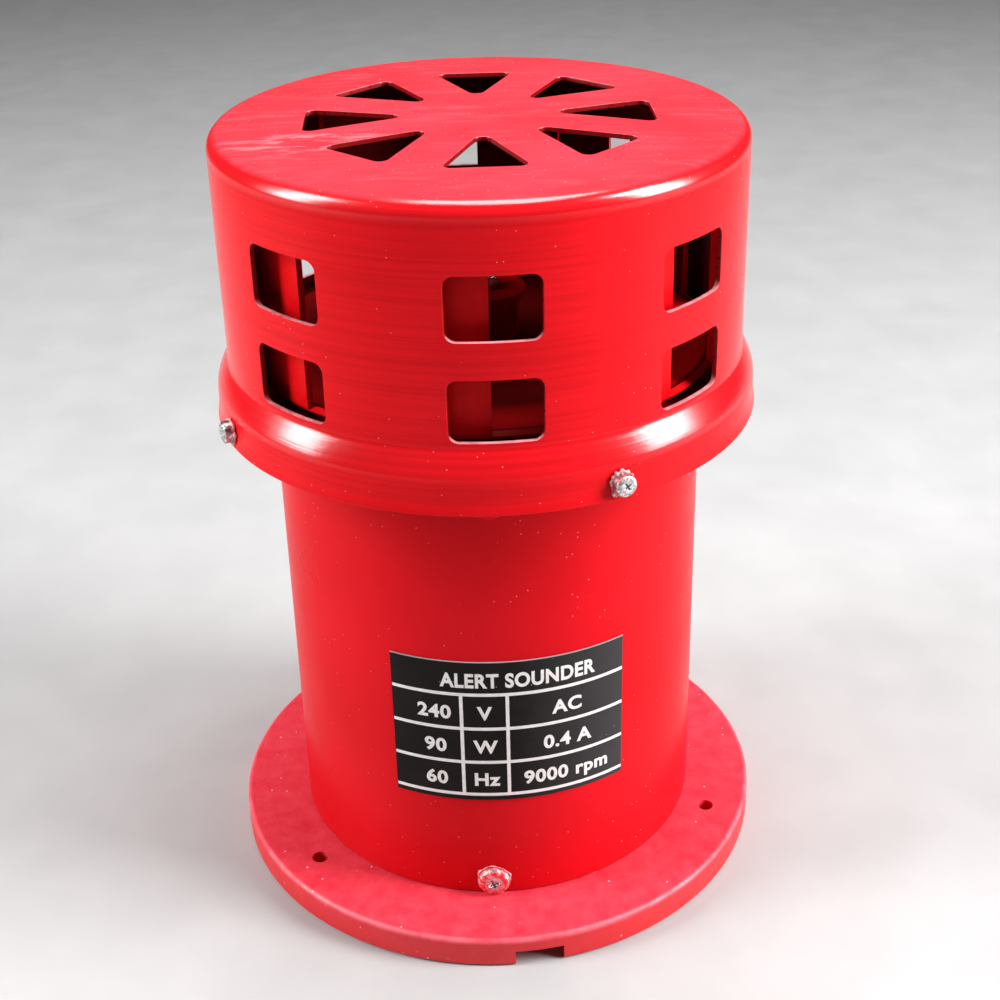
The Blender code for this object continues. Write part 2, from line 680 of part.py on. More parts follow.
def make_bearing(place, z_low, housing, rotor, cage_axis):
    """A ball bearing. Its outer ring stays, its inner ring turns, and its balls follow in a cage."""
    z_high = z_low + BEARING_H
    ring(f"{place}_bearing_outer_ring", RACE_OUTER_R, BEARING_R, z_low, z_high, STEEL, housing)
    ring(f"{place}_bearing_inner_ring", SHAFT_R + GAP, RACE_INNER_R, z_low, z_high, STEEL, rotor)
    ball_path = (RACE_INNER_R + RACE_OUTER_R) / 2.0
    middle = (z_low + z_high) / 2.0
    half_w, half_h = CAGE_HALF
    cage = ring(f"{place}_ball_cage", ball_path - half_w, ball_path + half_w, middle - half_h,
                middle + half_h, BRASS, cage_axis, HOLE_STEPS)
    mesh = bpy.data.meshes.new("ball")
    shape = bmesh.new()
    bmesh.ops.create_uvsphere(shape, u_segments=6, v_segments=4, radius=BALL_R * MM)
    shape.to_mesh(mesh)
    shape.free()
    balls = []
    for i in range(BALL_COUNT):
        ball = add_object("ball", mesh.copy(), collection=CUTTERS)
        x, y = polar(ball_path, i * 360.0 / BALL_COUNT)
        ball.location = (x * MM, y * MM, middle * MM)
        balls.append(ball)
    combine(cage, "UNION", join_shapes(f"{place}_balls", balls))


def stator_quarter():
    """The inner edge of the stator from +X to +Y: pole face, tip, neck, then the ring."""
    neck_r = math.degrees(math.asin(POLE_NECK_HALF / STATOR_RING_R))
    tip_back = math.degrees(math.asin(POLE_NECK_HALF / POLE_TIP_R))
    points = arc(STATOR_BORE_R, 0.0, POLE_TIP_ANGLE, 4)
    points += arc(POLE_TIP_R, POLE_TIP_ANGLE, tip_back, 2)
    points += arc(STATOR_RING_R, neck_r, 90.0, 5)
    return points


def make_stator(parent):
    quarter = stator_quarter()
    half = quarter + [(-x, y) for x, y in reversed(quarter)][1:]
    inner = half[:-1] + [(x, -y) for x, y in reversed(half)][:-1]
    lug = math.degrees(math.acos(LUG_HALF_W / STATOR_R))
    outer = arc(STATOR_R, -lug, lug, 12) + [(LUG_HALF_W, LUG_Y), (-LUG_HALF_W, LUG_Y)]
    outer += arc(STATOR_R, 180.0 - lug, 180.0 + lug, 12) + [(-LUG_HALF_W, -LUG_Y), (LUG_HALF_W, -LUG_Y)]
    bolt_holes = [circle(BOLT_R + GAP, HOLE_STEPS, (0.0, side * BOLT_Y)) for side in (-1.0, 1.0)]
    stack_h = STACK_Z[1] - STACK_Z[0]
    core = flat_outline("stator_core", [outer, inner] + bolt_holes, stack_h, LAMINATION, parent)
    core.location.z = sum(STACK_Z) / 2.0 * MM

    half_y = POLE_NECK_HALF + GAP + 0.1
    half_z = stack_h / 2.0 + GAP
    hole = rectangle(-half_y, half_y, -half_z, half_z)
    edge_y = half_y + COIL_BAND
    edge_z = half_z + COIL_BAND
    outside = rounded(rectangle(-edge_y, edge_y, -edge_z, edge_z), COIL_CORNER_R)
    for name, side in (("left_field_coil", -1.0), ("right_field_coil", 1.0)):
        coil = flat_outline(name, [outside, hole], COIL_X[1] - COIL_X[0], COPPER, parent)
        coil.location = (side * sum(COIL_X) / 2.0 * MM, 0.0, sum(STACK_Z) / 2.0 * MM)
        coil.rotation_euler = (math.radians(90.0), 0.0, math.radians(90.0))


def bridge(name, z_low, leg_end, parent):
    """The bar across the motor, with a leg at each end that meets the stator."""
    body = bar(name, (BRIDGE_W, 2.0 * LUG_Y, BRIDGE_T), (0.0, 0.0, z_low + BRIDGE_T / 2.0),
               CAST_ALUMINIUM, parent)
    low = min(leg_end, z_low + 1.0)
    high = max(leg_end, z_low + BRIDGE_T - 1.0)
    legs = [bar("leg", (2.0 * LUG_HALF_W, LUG_Y - LEG_Y, high - low),
                (0.0, side * (LUG_Y + LEG_Y) / 2.0, (low + high) / 2.0), collection=CUTTERS)
            for side in (-1.0, 1.0)]
    combine(body, "UNION", join_shapes(f"{name}_legs", legs))
    return body


def bolt_hole_cutter(name, z_low, z_high):
    holes = [rod("hole", BOLT_R + GAP, z_low, z_high, (0.0, side * BOLT_Y), CUTTERS, SCREW_STEPS)
             for side in (-1.0, 1.0)]
    return join_shapes(name, holes)


def make_upper_bracket(parent):
    pillar_top = PLATE_TOP - PLATE_T - GAP
    body = bridge("upper_bracket", UPPER_BRIDGE_Z, STACK_Z[1] + GAP, parent)
    boss = rod("upper_boss", BOSS_R, UPPER_BRIDGE_Z, UPPER_BOSS_TOP, collection=CUTTERS)
    pillars = join_shapes("pillars", [
        rod("pillar", PILLAR_R, UPPER_BRIDGE_Z + 1.0, pillar_top, (0.0, side * MOTOR_SCREW_Y),
            CUTTERS)
        for side in (-1.0, 1.0)])
    combine(body, "UNION", boss, pillars)
    seat = rod("upper_bearing_seat", BEARING_R + GAP, UPPER_BRIDGE_Z - OVERCUT,
               UPPER_BEARING_Z + BEARING_H + GAP, collection=CUTTERS)
    way = rod("upper_shaft_way", SHAFT_R + SHAFT_ROOM, UPPER_BRIDGE_Z, UPPER_BOSS_TOP + OVERCUT,
              collection=CUTTERS)
    threads = join_shapes("motor_screw_holes", [
        rod("hole", MOTOR_SCREW_R + GAP, pillar_top - MOTOR_SCREW_LENGTH, pillar_top + OVERCUT,
            (0.0, side * MOTOR_SCREW_Y), CUTTERS, SCREW_STEPS)
        for side in (-1.0, 1.0)])
    combine(body, "DIFFERENCE", seat, way, threads, bolt_hole_cutter("upper_bolt_holes", 80.0, 99.0))


def make_lower_bracket(parent):
    body = bridge("lower_bracket", LOWER_BRIDGE_Z, STACK_Z[0] - GAP, parent)
    boss = rod("lower_boss", BOSS_R, LOWER_BOSS_Z, LOWER_BRIDGE_Z + 2.0, collection=CUTTERS)
    arm = bar("cross_arm", (2.0 * ARM_HALF[0], 2.0 * ARM_HALF[1], BRIDGE_T - 1.0),
              (0.0, 0.0, LOWER_BRIDGE_Z + BRIDGE_T / 2.0), collection=CUTTERS)
    post_z = (LOWER_BRIDGE_Z + 1.0, POST_TOP)
    posts = join_shapes("posts", [
        bar("post", (POST_X[1] - POST_X[0], 2.0 * POST_HALF_Y, post_z[1] - post_z[0]),
            (side * sum(POST_X) / 2.0, 0.0, sum(post_z) / 2.0), collection=CUTTERS)
        for side in (-1.0, 1.0)])
    combine(body, "UNION", boss, arm, posts)
    seat = rod("lower_bearing_seat", BEARING_R + GAP, LOWER_BOSS_Z - OVERCUT,
               LOWER_BEARING_Z + BEARING_H + GAP, collection=CUTTERS)
    way = rod("lower_shaft_way", SHAFT_R + SHAFT_ROOM, LOWER_BOSS_Z,
              LOWER_BRIDGE_Z + BRIDGE_T + OVERCUT, collection=CUTTERS)
    hole_side = BRUSH_SIDE + 2.0 * (HOLDER_WALL + 2.0 * GAP)
    sockets = bar("brush_sockets", (2.0 * ARM_HALF[0] + 4.0, hole_side, hole_side), (0.0, 0.0, BRUSH_Z),
                  collection=CUTTERS)
    combine(body, "DIFFERENCE", seat, way, sockets, bolt_hole_cutter("lower_bolt_holes", 20.0, 60.0))


def make_motor_fixings(parent):
    for i, side in enumerate((-1.0, 1.0)):
        bolt = screw(f"through_bolt_{i + 1}", BOLT_HEAD, BOLT_R, BOLT_LENGTH, parent, domed=False)
        bolt.location = (0.0, side * BOLT_Y * MM, (LOWER_BRIDGE_Z - GAP) * MM)
        bolt.rotation_euler.x = math.radians(180.0)
        fixing = screw(f"motor_screw_{i + 1}", MOTOR_SCREW_HEAD, MOTOR_SCREW_R,
                       MOTOR_SCREW_LENGTH, parent)
        fixing.location = (0.0, side * MOTOR_SCREW_Y * MM, (PLATE_TOP + GAP) * MM)


def make_brush_gear(side_name, side, housing, brush_axis):
    """Brush, spring, square holder and end cap, along X on one side of the commutator."""
    def along_x(piece, x_low, x_high):
        piece.location = (side * (x_low + x_high) / 2.0 * MM, 0.0, BRUSH_Z * MM)
        piece.rotation_euler = (0.0, math.radians(90.0 * side), 0.0)
        return piece

    inside = BRUSH_SIDE / 2.0 + GAP
    outside = inside + HOLDER_WALL
    holder = flat_outline(f"{side_name}_brush_holder",
                          [rectangle(-outside, outside, -outside, outside),
                           rectangle(-inside, inside, -inside, inside)],
                          HOLDER_X[1] - HOLDER_X[0], BRASS, housing)
    along_x(holder, *HOLDER_X)
    cap_h = BRUSH_CAP_X[1] - BRUSH_CAP_X[0]
    profile = [(0.0, cap_h / 2.0), (BRUSH_CAP_R - 0.6, cap_h / 2.0), (BRUSH_CAP_R, cap_h / 2.0 - 0.6),
               (BRUSH_CAP_R, -cap_h / 2.0), (0.0, -cap_h / 2.0)]
    cap = turned(f"{side_name}_brush_cap", profile, CARBON, housing, SMALL_STEPS)
    along_x(cap, *BRUSH_CAP_X)
    size = (BRUSH_SIDE, BRUSH_SIDE, BRUSH_X[1] - BRUSH_X[0])
    brush = bar(f"{side_name}_brush", size, (0.0, 0.0, 0.0), CARBON, brush_axis, bevel=0.3)
    along_x(brush, *BRUSH_X)

    curve = bpy.data.curves.new(f"{side_name}_brush_spring", "CURVE")
    curve.dimensions = "3D"
    curve.bevel_depth = SPRING_WIRE_R * MM
    curve.bevel_resolution = 1
    curve.use_fill_caps = True
    spline = curve.splines.new("POLY")
    count = SPRING_TURNS * SPRING_STEPS
    length = SPRING_X[1] - SPRING_X[0] - 2.0 * SPRING_WIRE_R
    spline.points.add(count)
    for i, point in enumerate(spline.points):
        x, y = polar(SPRING_R, i * 360.0 / SPRING_STEPS)
        point.co = (x * MM, y * MM, (i / count - 0.5) * length * MM, 1.0)
    spring = add_object(f"{side_name}_brush_spring", curve, STEEL, housing)
    along_x(spring, *SPRING_X)


def make_supply(parent):
    """Terminal block, capacitor and the two leads that run up to the brush caps."""
    width, depth, height = TERMINAL_SIZE
    middle_z = BASE_T + GAP + height / 2.0
    block = bar("terminal_block", TERMINAL_SIZE, (0.0, TERMINAL_Y, middle_z), PLASTIC, parent)
    top = BASE_T + GAP + height
    wells = join_shapes("terminal_wells", [
        rod("hole", TERMINAL_SCREW_R + 1.5 * GAP, top - TERMINAL_WELL, top + OVERCUT,
            (side * width / 4.0, TERMINAL_Y), CUTTERS, SCREW_STEPS)
        for side in (-1.0, 1.0)])
    combine(block, "DIFFERENCE", wells)
    for i, side in enumerate((-1.0, 1.0)):
        fixing = screw(f"terminal_screw_{i + 1}", TERMINAL_SCREW_HEAD, TERMINAL_SCREW_R,
                       TERMINAL_SCREW_LENGTH, parent)
        fixing.location = (side * width / 4.0 * MM, TERMINAL_Y * MM, (top + GAP) * MM)
    bar("suppression_capacitor", CAPACITOR_SIZE,
        (0.0, CAPACITOR_Y, BASE_T + GAP + CAPACITOR_SIZE[2] / 2.0), PLASTIC, parent, bevel=1.2)

    front = TERMINAL_Y - depth / 2.0 - GAP
    route = [(5.0, front, 12.0), (5.0, front - 1.5, 12.0), (6.5, front - 3.0, 12.2),
             (12.0, front - 5.0, 13.0), (20.0, 12.0, 15.0), (27.5, 9.0, 19.0), (32.5, 6.5, 25.0),
             (35.8, 4.0, 32.0), (38.6, 1.0, 38.5), (39.6, 0.0, 41.4), (38.6, 0.0, BRUSH_Z),
             (BRUSH_CAP_X[1] + GAP, 0.0, BRUSH_Z)]
    for name, side in (("left_lead", -1.0), ("right_lead", 1.0)):
        curve = bpy.data.curves.new(name, "CURVE")
        curve.dimensions = "3D"
        curve.bevel_depth = LEAD_R * MM
        curve.bevel_resolution = 1
        curve.use_fill_caps = True
        spline = curve.splines.new("POLY")
        spline.points.add(len(route) - 1)
        for point, (x, y, z) in zip(spline.points, route):
            point.co = (side * x * MM, y * MM, z * MM, 1.0)
        add_object(name, curve, RUBBER, parent)


def build_siren():
    housing = add_object("housing_frame", None)
    rotor = add_object("rotor_axis", None, parent=housing)
    make_base(housing)
    make_tube(housing)
    make_label(housing)
    make_motor_plate(housing)
    make_cap(housing)
    make_stator(housing)
    make_upper_bracket(housing)
    make_lower_bracket(housing)
    make_motor_fixings(housing)
    make_supply(housing)
    make_rotor_drum(rotor)
    make_rotor_hub(rotor)
    make_armature(rotor)
    for place, z_low in (("upper", UPPER_BEARING_Z), ("lower", LOWER_BEARING_Z)):
        cage_axis = add_object(f"{place}_cage_axis", None, parent=housing)
        make_bearing(place, z_low, housing, rotor, cage_axis)
    for side_name, side in (("left", -1.0), ("right", 1.0)):
        brush_axis = add_object(f"{side_name}_brush_axis", None, parent=housing)
        make_brush_gear(side_name, side, housing, brush_axis)


build_siren()
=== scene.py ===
"""Looks of the motor-driven alarm siren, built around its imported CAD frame.

Constants and shapes are in millimetres and degrees, and MM turns them into metres. The scales of
materials are in features per metre. An azimuth is measured from the front (-Y) towards +X, as in
the CAD. Sizes that the CAD sets are read from its nodes.
"""

import json
import math
import random

import bmesh
import bpy
from mathutils import Matrix, Vector


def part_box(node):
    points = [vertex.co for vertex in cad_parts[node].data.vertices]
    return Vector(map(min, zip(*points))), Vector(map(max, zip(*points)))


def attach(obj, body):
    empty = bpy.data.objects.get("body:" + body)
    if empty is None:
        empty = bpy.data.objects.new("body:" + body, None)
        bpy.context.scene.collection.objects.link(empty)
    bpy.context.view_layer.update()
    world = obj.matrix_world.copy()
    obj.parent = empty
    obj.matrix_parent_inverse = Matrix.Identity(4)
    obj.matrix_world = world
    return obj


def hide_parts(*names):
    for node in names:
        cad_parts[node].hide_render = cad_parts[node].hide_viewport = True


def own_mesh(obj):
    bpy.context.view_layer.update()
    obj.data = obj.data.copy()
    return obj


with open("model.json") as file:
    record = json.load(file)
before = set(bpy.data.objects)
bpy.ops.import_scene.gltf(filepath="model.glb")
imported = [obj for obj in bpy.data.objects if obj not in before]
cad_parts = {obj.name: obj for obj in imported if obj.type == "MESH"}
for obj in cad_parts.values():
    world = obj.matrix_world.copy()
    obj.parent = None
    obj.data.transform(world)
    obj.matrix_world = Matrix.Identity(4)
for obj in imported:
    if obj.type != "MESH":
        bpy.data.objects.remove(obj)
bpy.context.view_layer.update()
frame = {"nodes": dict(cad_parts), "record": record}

MM = 0.001
COLUMNS = 128                  # columns round the turned pieces: 16 for each window of the cap
CELL_COLUMNS = 16
CELL_ROWS = 10
WELD = 0.000002                # in metres
HOLE_STEPS = 24
SCREW_COLUMNS = 40


def box_mm(node):
    """A CAD node's low and high corners in millimetres."""
    low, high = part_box(node)
    return low / MM, high / MM


# Sizes from the CAD
BASE_HIGH = box_mm("base_plate")[1]
TUBE_LOW, TUBE_HIGH = box_mm("body_tube")
CAP_LOW, CAP_HIGH = box_mm("siren_cap")
PLATE_LOW, PLATE_HIGH = box_mm("motor_plate")
DRUM_LOW, DRUM_HIGH = box_mm("rotor_drum")
HUB_LOW, HUB_HIGH = box_mm("rotor_hub")
SHAFT_LOW, SHAFT_HIGH = box_mm("motor_shaft")
LABEL_LOW, LABEL_HIGH = box_mm("rating_label")
GROMMET_LOW, GROMMET_HIGH = box_mm("cable_grommet")

BASE_R = BASE_HIGH.x
BASE_T = 7.0
BASE_EDGE = 1.0
SPIGOT_R = 43.3
SPIGOT_WALL = 3.5
CABLE_HOLE_R = 6.5
CABLE_W = 10.3
CABLE_H = 3.75
CABLE_AZ = 7.4
BASE_HOLE_R = 1.75
BASE_HOLE_CIRCLE_R = 51.2
BASE_HOLE_AZ = (68.4, 188.4, 308.4)

TUBE_R = TUBE_HIGH.x
TUBE_WALL = 1.2
BASE_SCREW_Z = 10.7
BASE_SCREW_AZ = (-2.0, 118.0, 238.0)
PLATE_SCREW_Z = 103.0
PLATE_SCREW_AZ = (-0.8, 119.2, 239.2)
TAPPING_HEAD = (3.5, 1.7)       # radius and height
TAPPING_SHANK = (1.45, 6.2)     # radius and length
SCREW_GAP = 0.3                 # between the tube and the tapping screws' heads
TUBE_HOLE_R = TAPPING_SHANK[0] + 0.45
SPIGOT_HOLE_R = TAPPING_SHANK[0] + 0.3

CAP_CROWN = 0.8                # the top is slightly domed
CAP_TOP = CAP_HIGH.z - CAP_CROWN
CAP_R = 53.4
CAP_WALL = 1.0
CAP_EDGE_R = 3.0
WALL_FOOT = 118.9
BEAD_TOP = 117.75
BEAD_FOLD = 113.4
SKIRT_R = CAP_HIGH.x
SKIRT_Z = CAP_LOW.z
WINDOW_COUNT = 8
WINDOW_AZ = 1.6
WINDOW_W = 17.6
WINDOW_H = 12.35
WINDOW_Z = (125.8, 145.4)
WINDOW_CORNER_R = 2.0
VENT_APEX_R = 13.0
VENT_OUTER_R = 34.4
VENT_HALF_W = 8.4
VENT_CORNER_R = 1.7
CAP_CENTRE_R = 9.0
CAP_SCREW_AZ = (25.6, 115.6, 205.6, 295.6)
CAP_SCREW_Z = 109.5
CAP_SCREW_SEAT_R = 56.6
CAP_SCREW_HEAD = (2.25, 1.8)
CAP_SCREW_SHANK = (1.2, 5.4)

DRUM_R = DRUM_HIGH.x
DRUM_SHEET = 1.4
BEND_R = 1.8
BLADE_AZ = 0.8
GAP_AZ = 22.5

LABEL_AZ = (-28.0, 35.4)
LABEL_RULE_Z = (58.9, 50.5, 42.1, 33.8)
LABEL_RULE_AZ = (-9.1, 2.8)
LABEL_RULE_W = 0.72
LABEL_BACK_R = TUBE_R + 0.04
LABEL_FRONT_R = TUBE_R + 0.3
LABEL_STEPS = 48
INK_T = 0.05
INK_SUNK = 0.02
CAPITAL_SHARE = 0.73            # a capital's height as a share of the letter size
CELL_AZ = (-16.3, -3.1, 18.7)
TABLE = (("240", "V", "AC"), ("90", "W", "0.4 A"), ("60", "Hz", "9000 rpm"))


# ---------------------------------------------------------------- camera, floor and light

def make_camera():
    """A slightly telephoto camera that looks down at the front of the siren."""
    data = bpy.data.cameras.new("camera")
    data.sensor_width = 36.0
    data.lens = 57.41
    data.shift_x = -0.0335
    data.shift_y = -0.066
    data.clip_start = 0.01
    camera = bpy.data.objects.new("camera", data)
    bpy.context.scene.collection.objects.link(camera)
    pan, tilt, roll = 0.0315, 0.4627, -0.015
    place = Matrix.Translation((0.0, -0.309, 0.2489))
    turn = Matrix.Rotation(-pan, 4, "Z") @ Matrix.Rotation(math.pi / 2.0 - tilt, 4, "X")
    camera.matrix_world = place @ turn @ Matrix.Rotation(roll, 4, "Z")
    bpy.context.scene.camera = camera


make_camera()


def area_light(name, place, target, size, power):
    """A rectangular soft light. Place, target and size are in metres."""
    data = bpy.data.lights.new(name, "AREA")
    data.shape = "RECTANGLE"
    data.size, data.size_y = size
    data.energy = power
    light = bpy.data.objects.new(name, data)
    bpy.context.scene.collection.objects.link(light)
    light.location = place
    light.rotation_euler = (Vector(target) - Vector(place)).to_track_quat("-Z", "Y").to_euler()


def make_lights():
    """A soft box with a brighter core on either side, one soft box above, and a faint sky."""
    middle = (0.0, 0.0, 0.12)
    area_light("left_soft_box", (-0.76, -0.09, 0.5), middle, (0.42, 0.9), 2.0)
    area_light("left_core", (-0.71, -0.12, 0.47), middle, (0.24, 0.62), 7.0)
    area_light("right_soft_box", (0.75, -0.15, 0.5), middle, (0.42, 0.9), 3.6)
    area_light("right_core", (0.69, -0.17, 0.47), middle, (0.3, 0.62), 11.4)
    area_light("top_soft_box", (0.05, 0.12, 1.0), middle, (0.5, 0.4), 7.0)
    world = bpy.data.worlds.new("studio")
    world.use_nodes = True
    sky = world.node_tree.nodes["Background"]
    sky.inputs["Color"].default_value = (0.86, 0.88, 0.9, 1.0)
    sky.inputs["Strength"].default_value = 0.06
    bpy.context.scene.world = world
    bpy.context.scene.view_settings.view_transform = "Standard"


make_lights()


# ---------------------------------------------------------------- materials

class Graph:
    """A material's nodes, with its Principled shader and coordinates in the piece's own space."""

    def __init__(self, name, metallic=0.0):
        self.material = bpy.data.materials.new(name)
        self.material.use_nodes = True
        self.tree = self.material.node_tree
        self.shader = self.tree.nodes["Principled BSDF"]
        self.shader.inputs["Metallic"].default_value = metallic
        self.place = self.add("ShaderNodeTexCoord").outputs["Object"]

    def add(self, kind, **settings):
        node = self.tree.nodes.new(kind)
        for key, value in settings.items():
            setattr(node, key, value)
        return node

    def feed(self, socket, value):
        """Link a socket, or set a number on it."""
        if isinstance(value, bpy.types.NodeSocket):
            self.tree.links.new(value, socket)
        else:
            socket.default_value = value

    def math(self, operation, first, second=0.0):
        node = self.add("ShaderNodeMath", operation=operation)
        self.feed(node.inputs[0], first)
        self.feed(node.inputs[1], second)
        return node.outputs[0]

    def stretched(self, scale):
        """Coordinates multiplied along each axis."""
        node = self.add("ShaderNodeVectorMath", operation="MULTIPLY")
        self.feed(node.inputs[0], self.place)
        node.inputs[1].default_value = scale
        return node.outputs[0]

    def noise(self, scale, detail=2.0, place=None, roughness=0.5):
        """Noise from 0 to 1, with about scale features in a metre."""
        node = self.add("ShaderNodeTexNoise")
        self.feed(node.inputs["Vector"], place or self.place)
        node.inputs["Scale"].default_value = scale
        node.inputs["Detail"].default_value = detail
        node.inputs["Roughness"].default_value = roughness
        return node.outputs["Fac"]

    def span(self, value, low, high, to_low=0.0, to_high=1.0):
        """Map a range of a value to another range, held at its ends."""
        node = self.add("ShaderNodeMapRange")
        self.feed(node.inputs["Value"], value)
        node.inputs["From Min"].default_value = low
        node.inputs["From Max"].default_value = high
        node.inputs["To Min"].default_value = to_low
        node.inputs["To Max"].default_value = to_high
        return node.outputs["Result"]

    def blend(self, share, first, second):
        """Mix two colours, each a socket or three numbers."""
        node = self.add("ShaderNodeMix", data_type="RGBA")
        self.feed(node.inputs[0], share)
        for socket, value in ((node.inputs[6], first), (node.inputs[7], second)):
            self.feed(socket, value if isinstance(value, bpy.types.NodeSocket) else (*value, 1.0))
        return node.outputs[2]

    def specks(self, scale, size, share):
        """A mask of round specks, from cells per metre, a speck's radius in cells, and the share of
        cells that have one.
        """
        node = self.add("ShaderNodeTexVoronoi")
        self.feed(node.inputs["Vector"], self.place)
        node.inputs["Scale"].default_value = scale
        split = self.add("ShaderNodeSeparateColor")
        self.feed(split.inputs[0], node.outputs["Color"])
        inside = self.math("LESS_THAN", node.outputs["Distance"], size)
        kept = self.math("LESS_THAN", split.outputs[0], share)
        return self.math("MULTIPLY", inside, kept)

    def radius_and_height(self):
        """Distance from the piece's Z axis, and height along it."""
        split = self.add("ShaderNodeSeparateXYZ")
        self.feed(split.inputs[0], self.place)
        square = self.math("ADD", self.math("POWER", split.outputs[0], 2.0),
                           self.math("POWER", split.outputs[1], 2.0))
        return self.math("SQRT", square), split.outputs[2]

    def patch(self, middle, reach):
        """A soft elliptical mask about a place on the piece, in millimetres along X and Y."""
        split = self.add("ShaderNodeSeparateXYZ")
        self.feed(split.inputs[0], self.place)
        squares = []
        for output, centre, half in zip(split.outputs, middle, reach):
            offset = self.math("SUBTRACT", output, centre * MM)
            squares.append(self.math("POWER", self.math("DIVIDE", offset, half * MM), 2.0))
        return self.span(self.math("ADD", *squares), 0.3, 1.3, 1.0, 0.0)

    def bump(self, height, strength, depth):
        """Add a bump of a height field, with its depth in metres, over any bump added before."""
        node = self.add("ShaderNodeBump")
        self.feed(node.inputs["Height"], height)
        node.inputs["Strength"].default_value = strength
        node.inputs["Distance"].default_value = depth
        before = self.shader.inputs["Normal"].links
        if before:
            self.feed(node.inputs["Normal"], before[0].from_socket)
        self.feed(self.shader.inputs["Normal"], node.outputs["Normal"])

    def finish(self, color, roughness, metallic=None):
        self.feed(self.shader.inputs["Base Color"], color)
        self.feed(self.shader.inputs["Roughness"], roughness)
        if metallic is not None:
            self.feed(self.shader.inputs["Metallic"], metallic)
        return self.material


PAINT_RED = (0.66, 0.0055, 0.012)
PAINT_DEEP = (0.58, 0.004, 0.008)
CAP_RED = (0.8, 0.0065, 0.013)
CAP_DEEP = (0.7, 0.005, 0.009)
DUST = (0.85, 0.42, 0.42)


def painted(g, color, dust, rough):
    """Finish red paint on sheet, with orange peel and dust specks."""
    g.bump(g.noise(900.0, 2.0), 0.12, 0.0001)
    specks = g.specks(900.0, 0.1, dust)
    color = g.blend(g.math("MULTIPLY", specks, 0.7), color, DUST)
    g.bump(specks, 0.5, 0.0001)
    return g.finish(color, g.span(g.noise(60.0, 4.0), 0.3, 0.7, *rough))


def sprayed_material():
    """The duller paint of the tube and the motor plate."""
    g = Graph("red_paint_sprayed")
    g.shader.inputs["Specular IOR Level"].default_value = 0.05
    tone = g.span(g.noise(28.0, 3.0), 0.35, 0.65)
    return painted(g, g.blend(tone, PAINT_DEEP, PAINT_RED), 0.12, (0.27, 0.36))


def cap_material():
    """The cap's paint with turning lines, glossy on the bead and the rim, with a painted sheen and scuffs
    on top.
    """
    g = Graph("red_paint_spun")
    radius, height = g.radius_and_height()
    bead = g.math("MULTIPLY", g.span(height, (BEAD_FOLD - 1.0) * MM, (BEAD_FOLD + 0.6) * MM),
                  g.span(height, BEAD_TOP * MM, (BEAD_TOP + 1.2) * MM, 1.0, 0.0))
    rim = g.math("MULTIPLY", g.span(height, (CAP_TOP - 4.0) * MM, (CAP_TOP - 2.0) * MM),
                 g.span(radius, (CAP_R - 6.0) * MM, (CAP_R - 3.0) * MM))
    gloss = g.span(g.math("ADD", bead, rim), 0.0, 1.0, 0.08, 0.75)
    g.feed(g.shader.inputs["Specular IOR Level"], gloss)
    tone = g.span(g.noise(28.0, 3.0), 0.35, 0.65)
    color = g.blend(tone, CAP_DEEP, CAP_RED)
    lines = g.noise(1500.0, 3.0, g.stretched((0.006, 0.006, 1.0)), 0.7)
    color = g.blend(g.span(lines, 0.4, 0.65, 0.0, 0.34), color, (0.4, 0.002, 0.004))
    g.bump(lines, 0.4, 0.00012)
    top = g.span(height, (CAP_TOP - 0.8) * MM, (CAP_TOP - 0.1) * MM)
    # Painted sheen: soft clouds of pale pink over the flat top, standing for light caught by it.
    painted_top_sheen = g.span(g.noise(45.0, 4.0), 0.3, 0.7, 0.2, 0.36)
    color = g.blend(g.math("MULTIPLY", top, painted_top_sheen), color, (0.95, 0.12, 0.17))
    # These smears and scuffs on the top are wear, in a paler pink.
    smears = g.span(g.noise(240.0, 6.0, g.stretched((0.3, 1.5, 1.0)), 0.7), 0.5, 0.66, 0.0, 0.5)
    scuffed = g.patch((-33.0, -16.0), (17.0, 8.0))
    patches = g.math("MAXIMUM", scuffed, g.math("MULTIPLY", g.noise(25.0), 0.25))
    wear_and_painted_highlight = g.math("MULTIPLY", top, g.math("MULTIPLY", smears, patches))
    color = g.blend(wear_and_painted_highlight, color, (0.95, 0.42, 0.47))
    return painted(g, color, g.span(top, 0.0, 1.0, 0.11, 0.28), (0.16, 0.22))


def cut_edge_material():
    """The paint on the cap's cut edges: a deep red darker than the paint, as painted shade, with a pale
    pink painted highlight, broken up by noise, where they face up.
    """
    g = Graph("cut_edge_painted_light")
    upward = g.add("ShaderNodeSeparateXYZ")
    g.feed(upward.inputs[0], g.add("ShaderNodeNewGeometry").outputs["Normal"])
    facing_up = g.span(upward.outputs[2], 0.35, 0.85)
    # Painted highlight where the edges face up, and painted shade in the deep red elsewhere.
    wear_and_painted_highlight = g.math("MULTIPLY", facing_up, g.span(g.noise(500.0, 3.0), 0.3, 0.6, 0.5, 1.0))
    grain = g.noise(900.0, 3.0)
    color = g.blend(wear_and_painted_highlight, g.blend(grain, (0.2, 0.001, 0.002), (0.3, 0.002, 0.004)), (0.95, 0.34, 0.38))
    g.bump(grain, 0.15, 0.0001)
    return g.finish(color, g.span(grain, 0.3, 0.7, 0.25, 0.36))


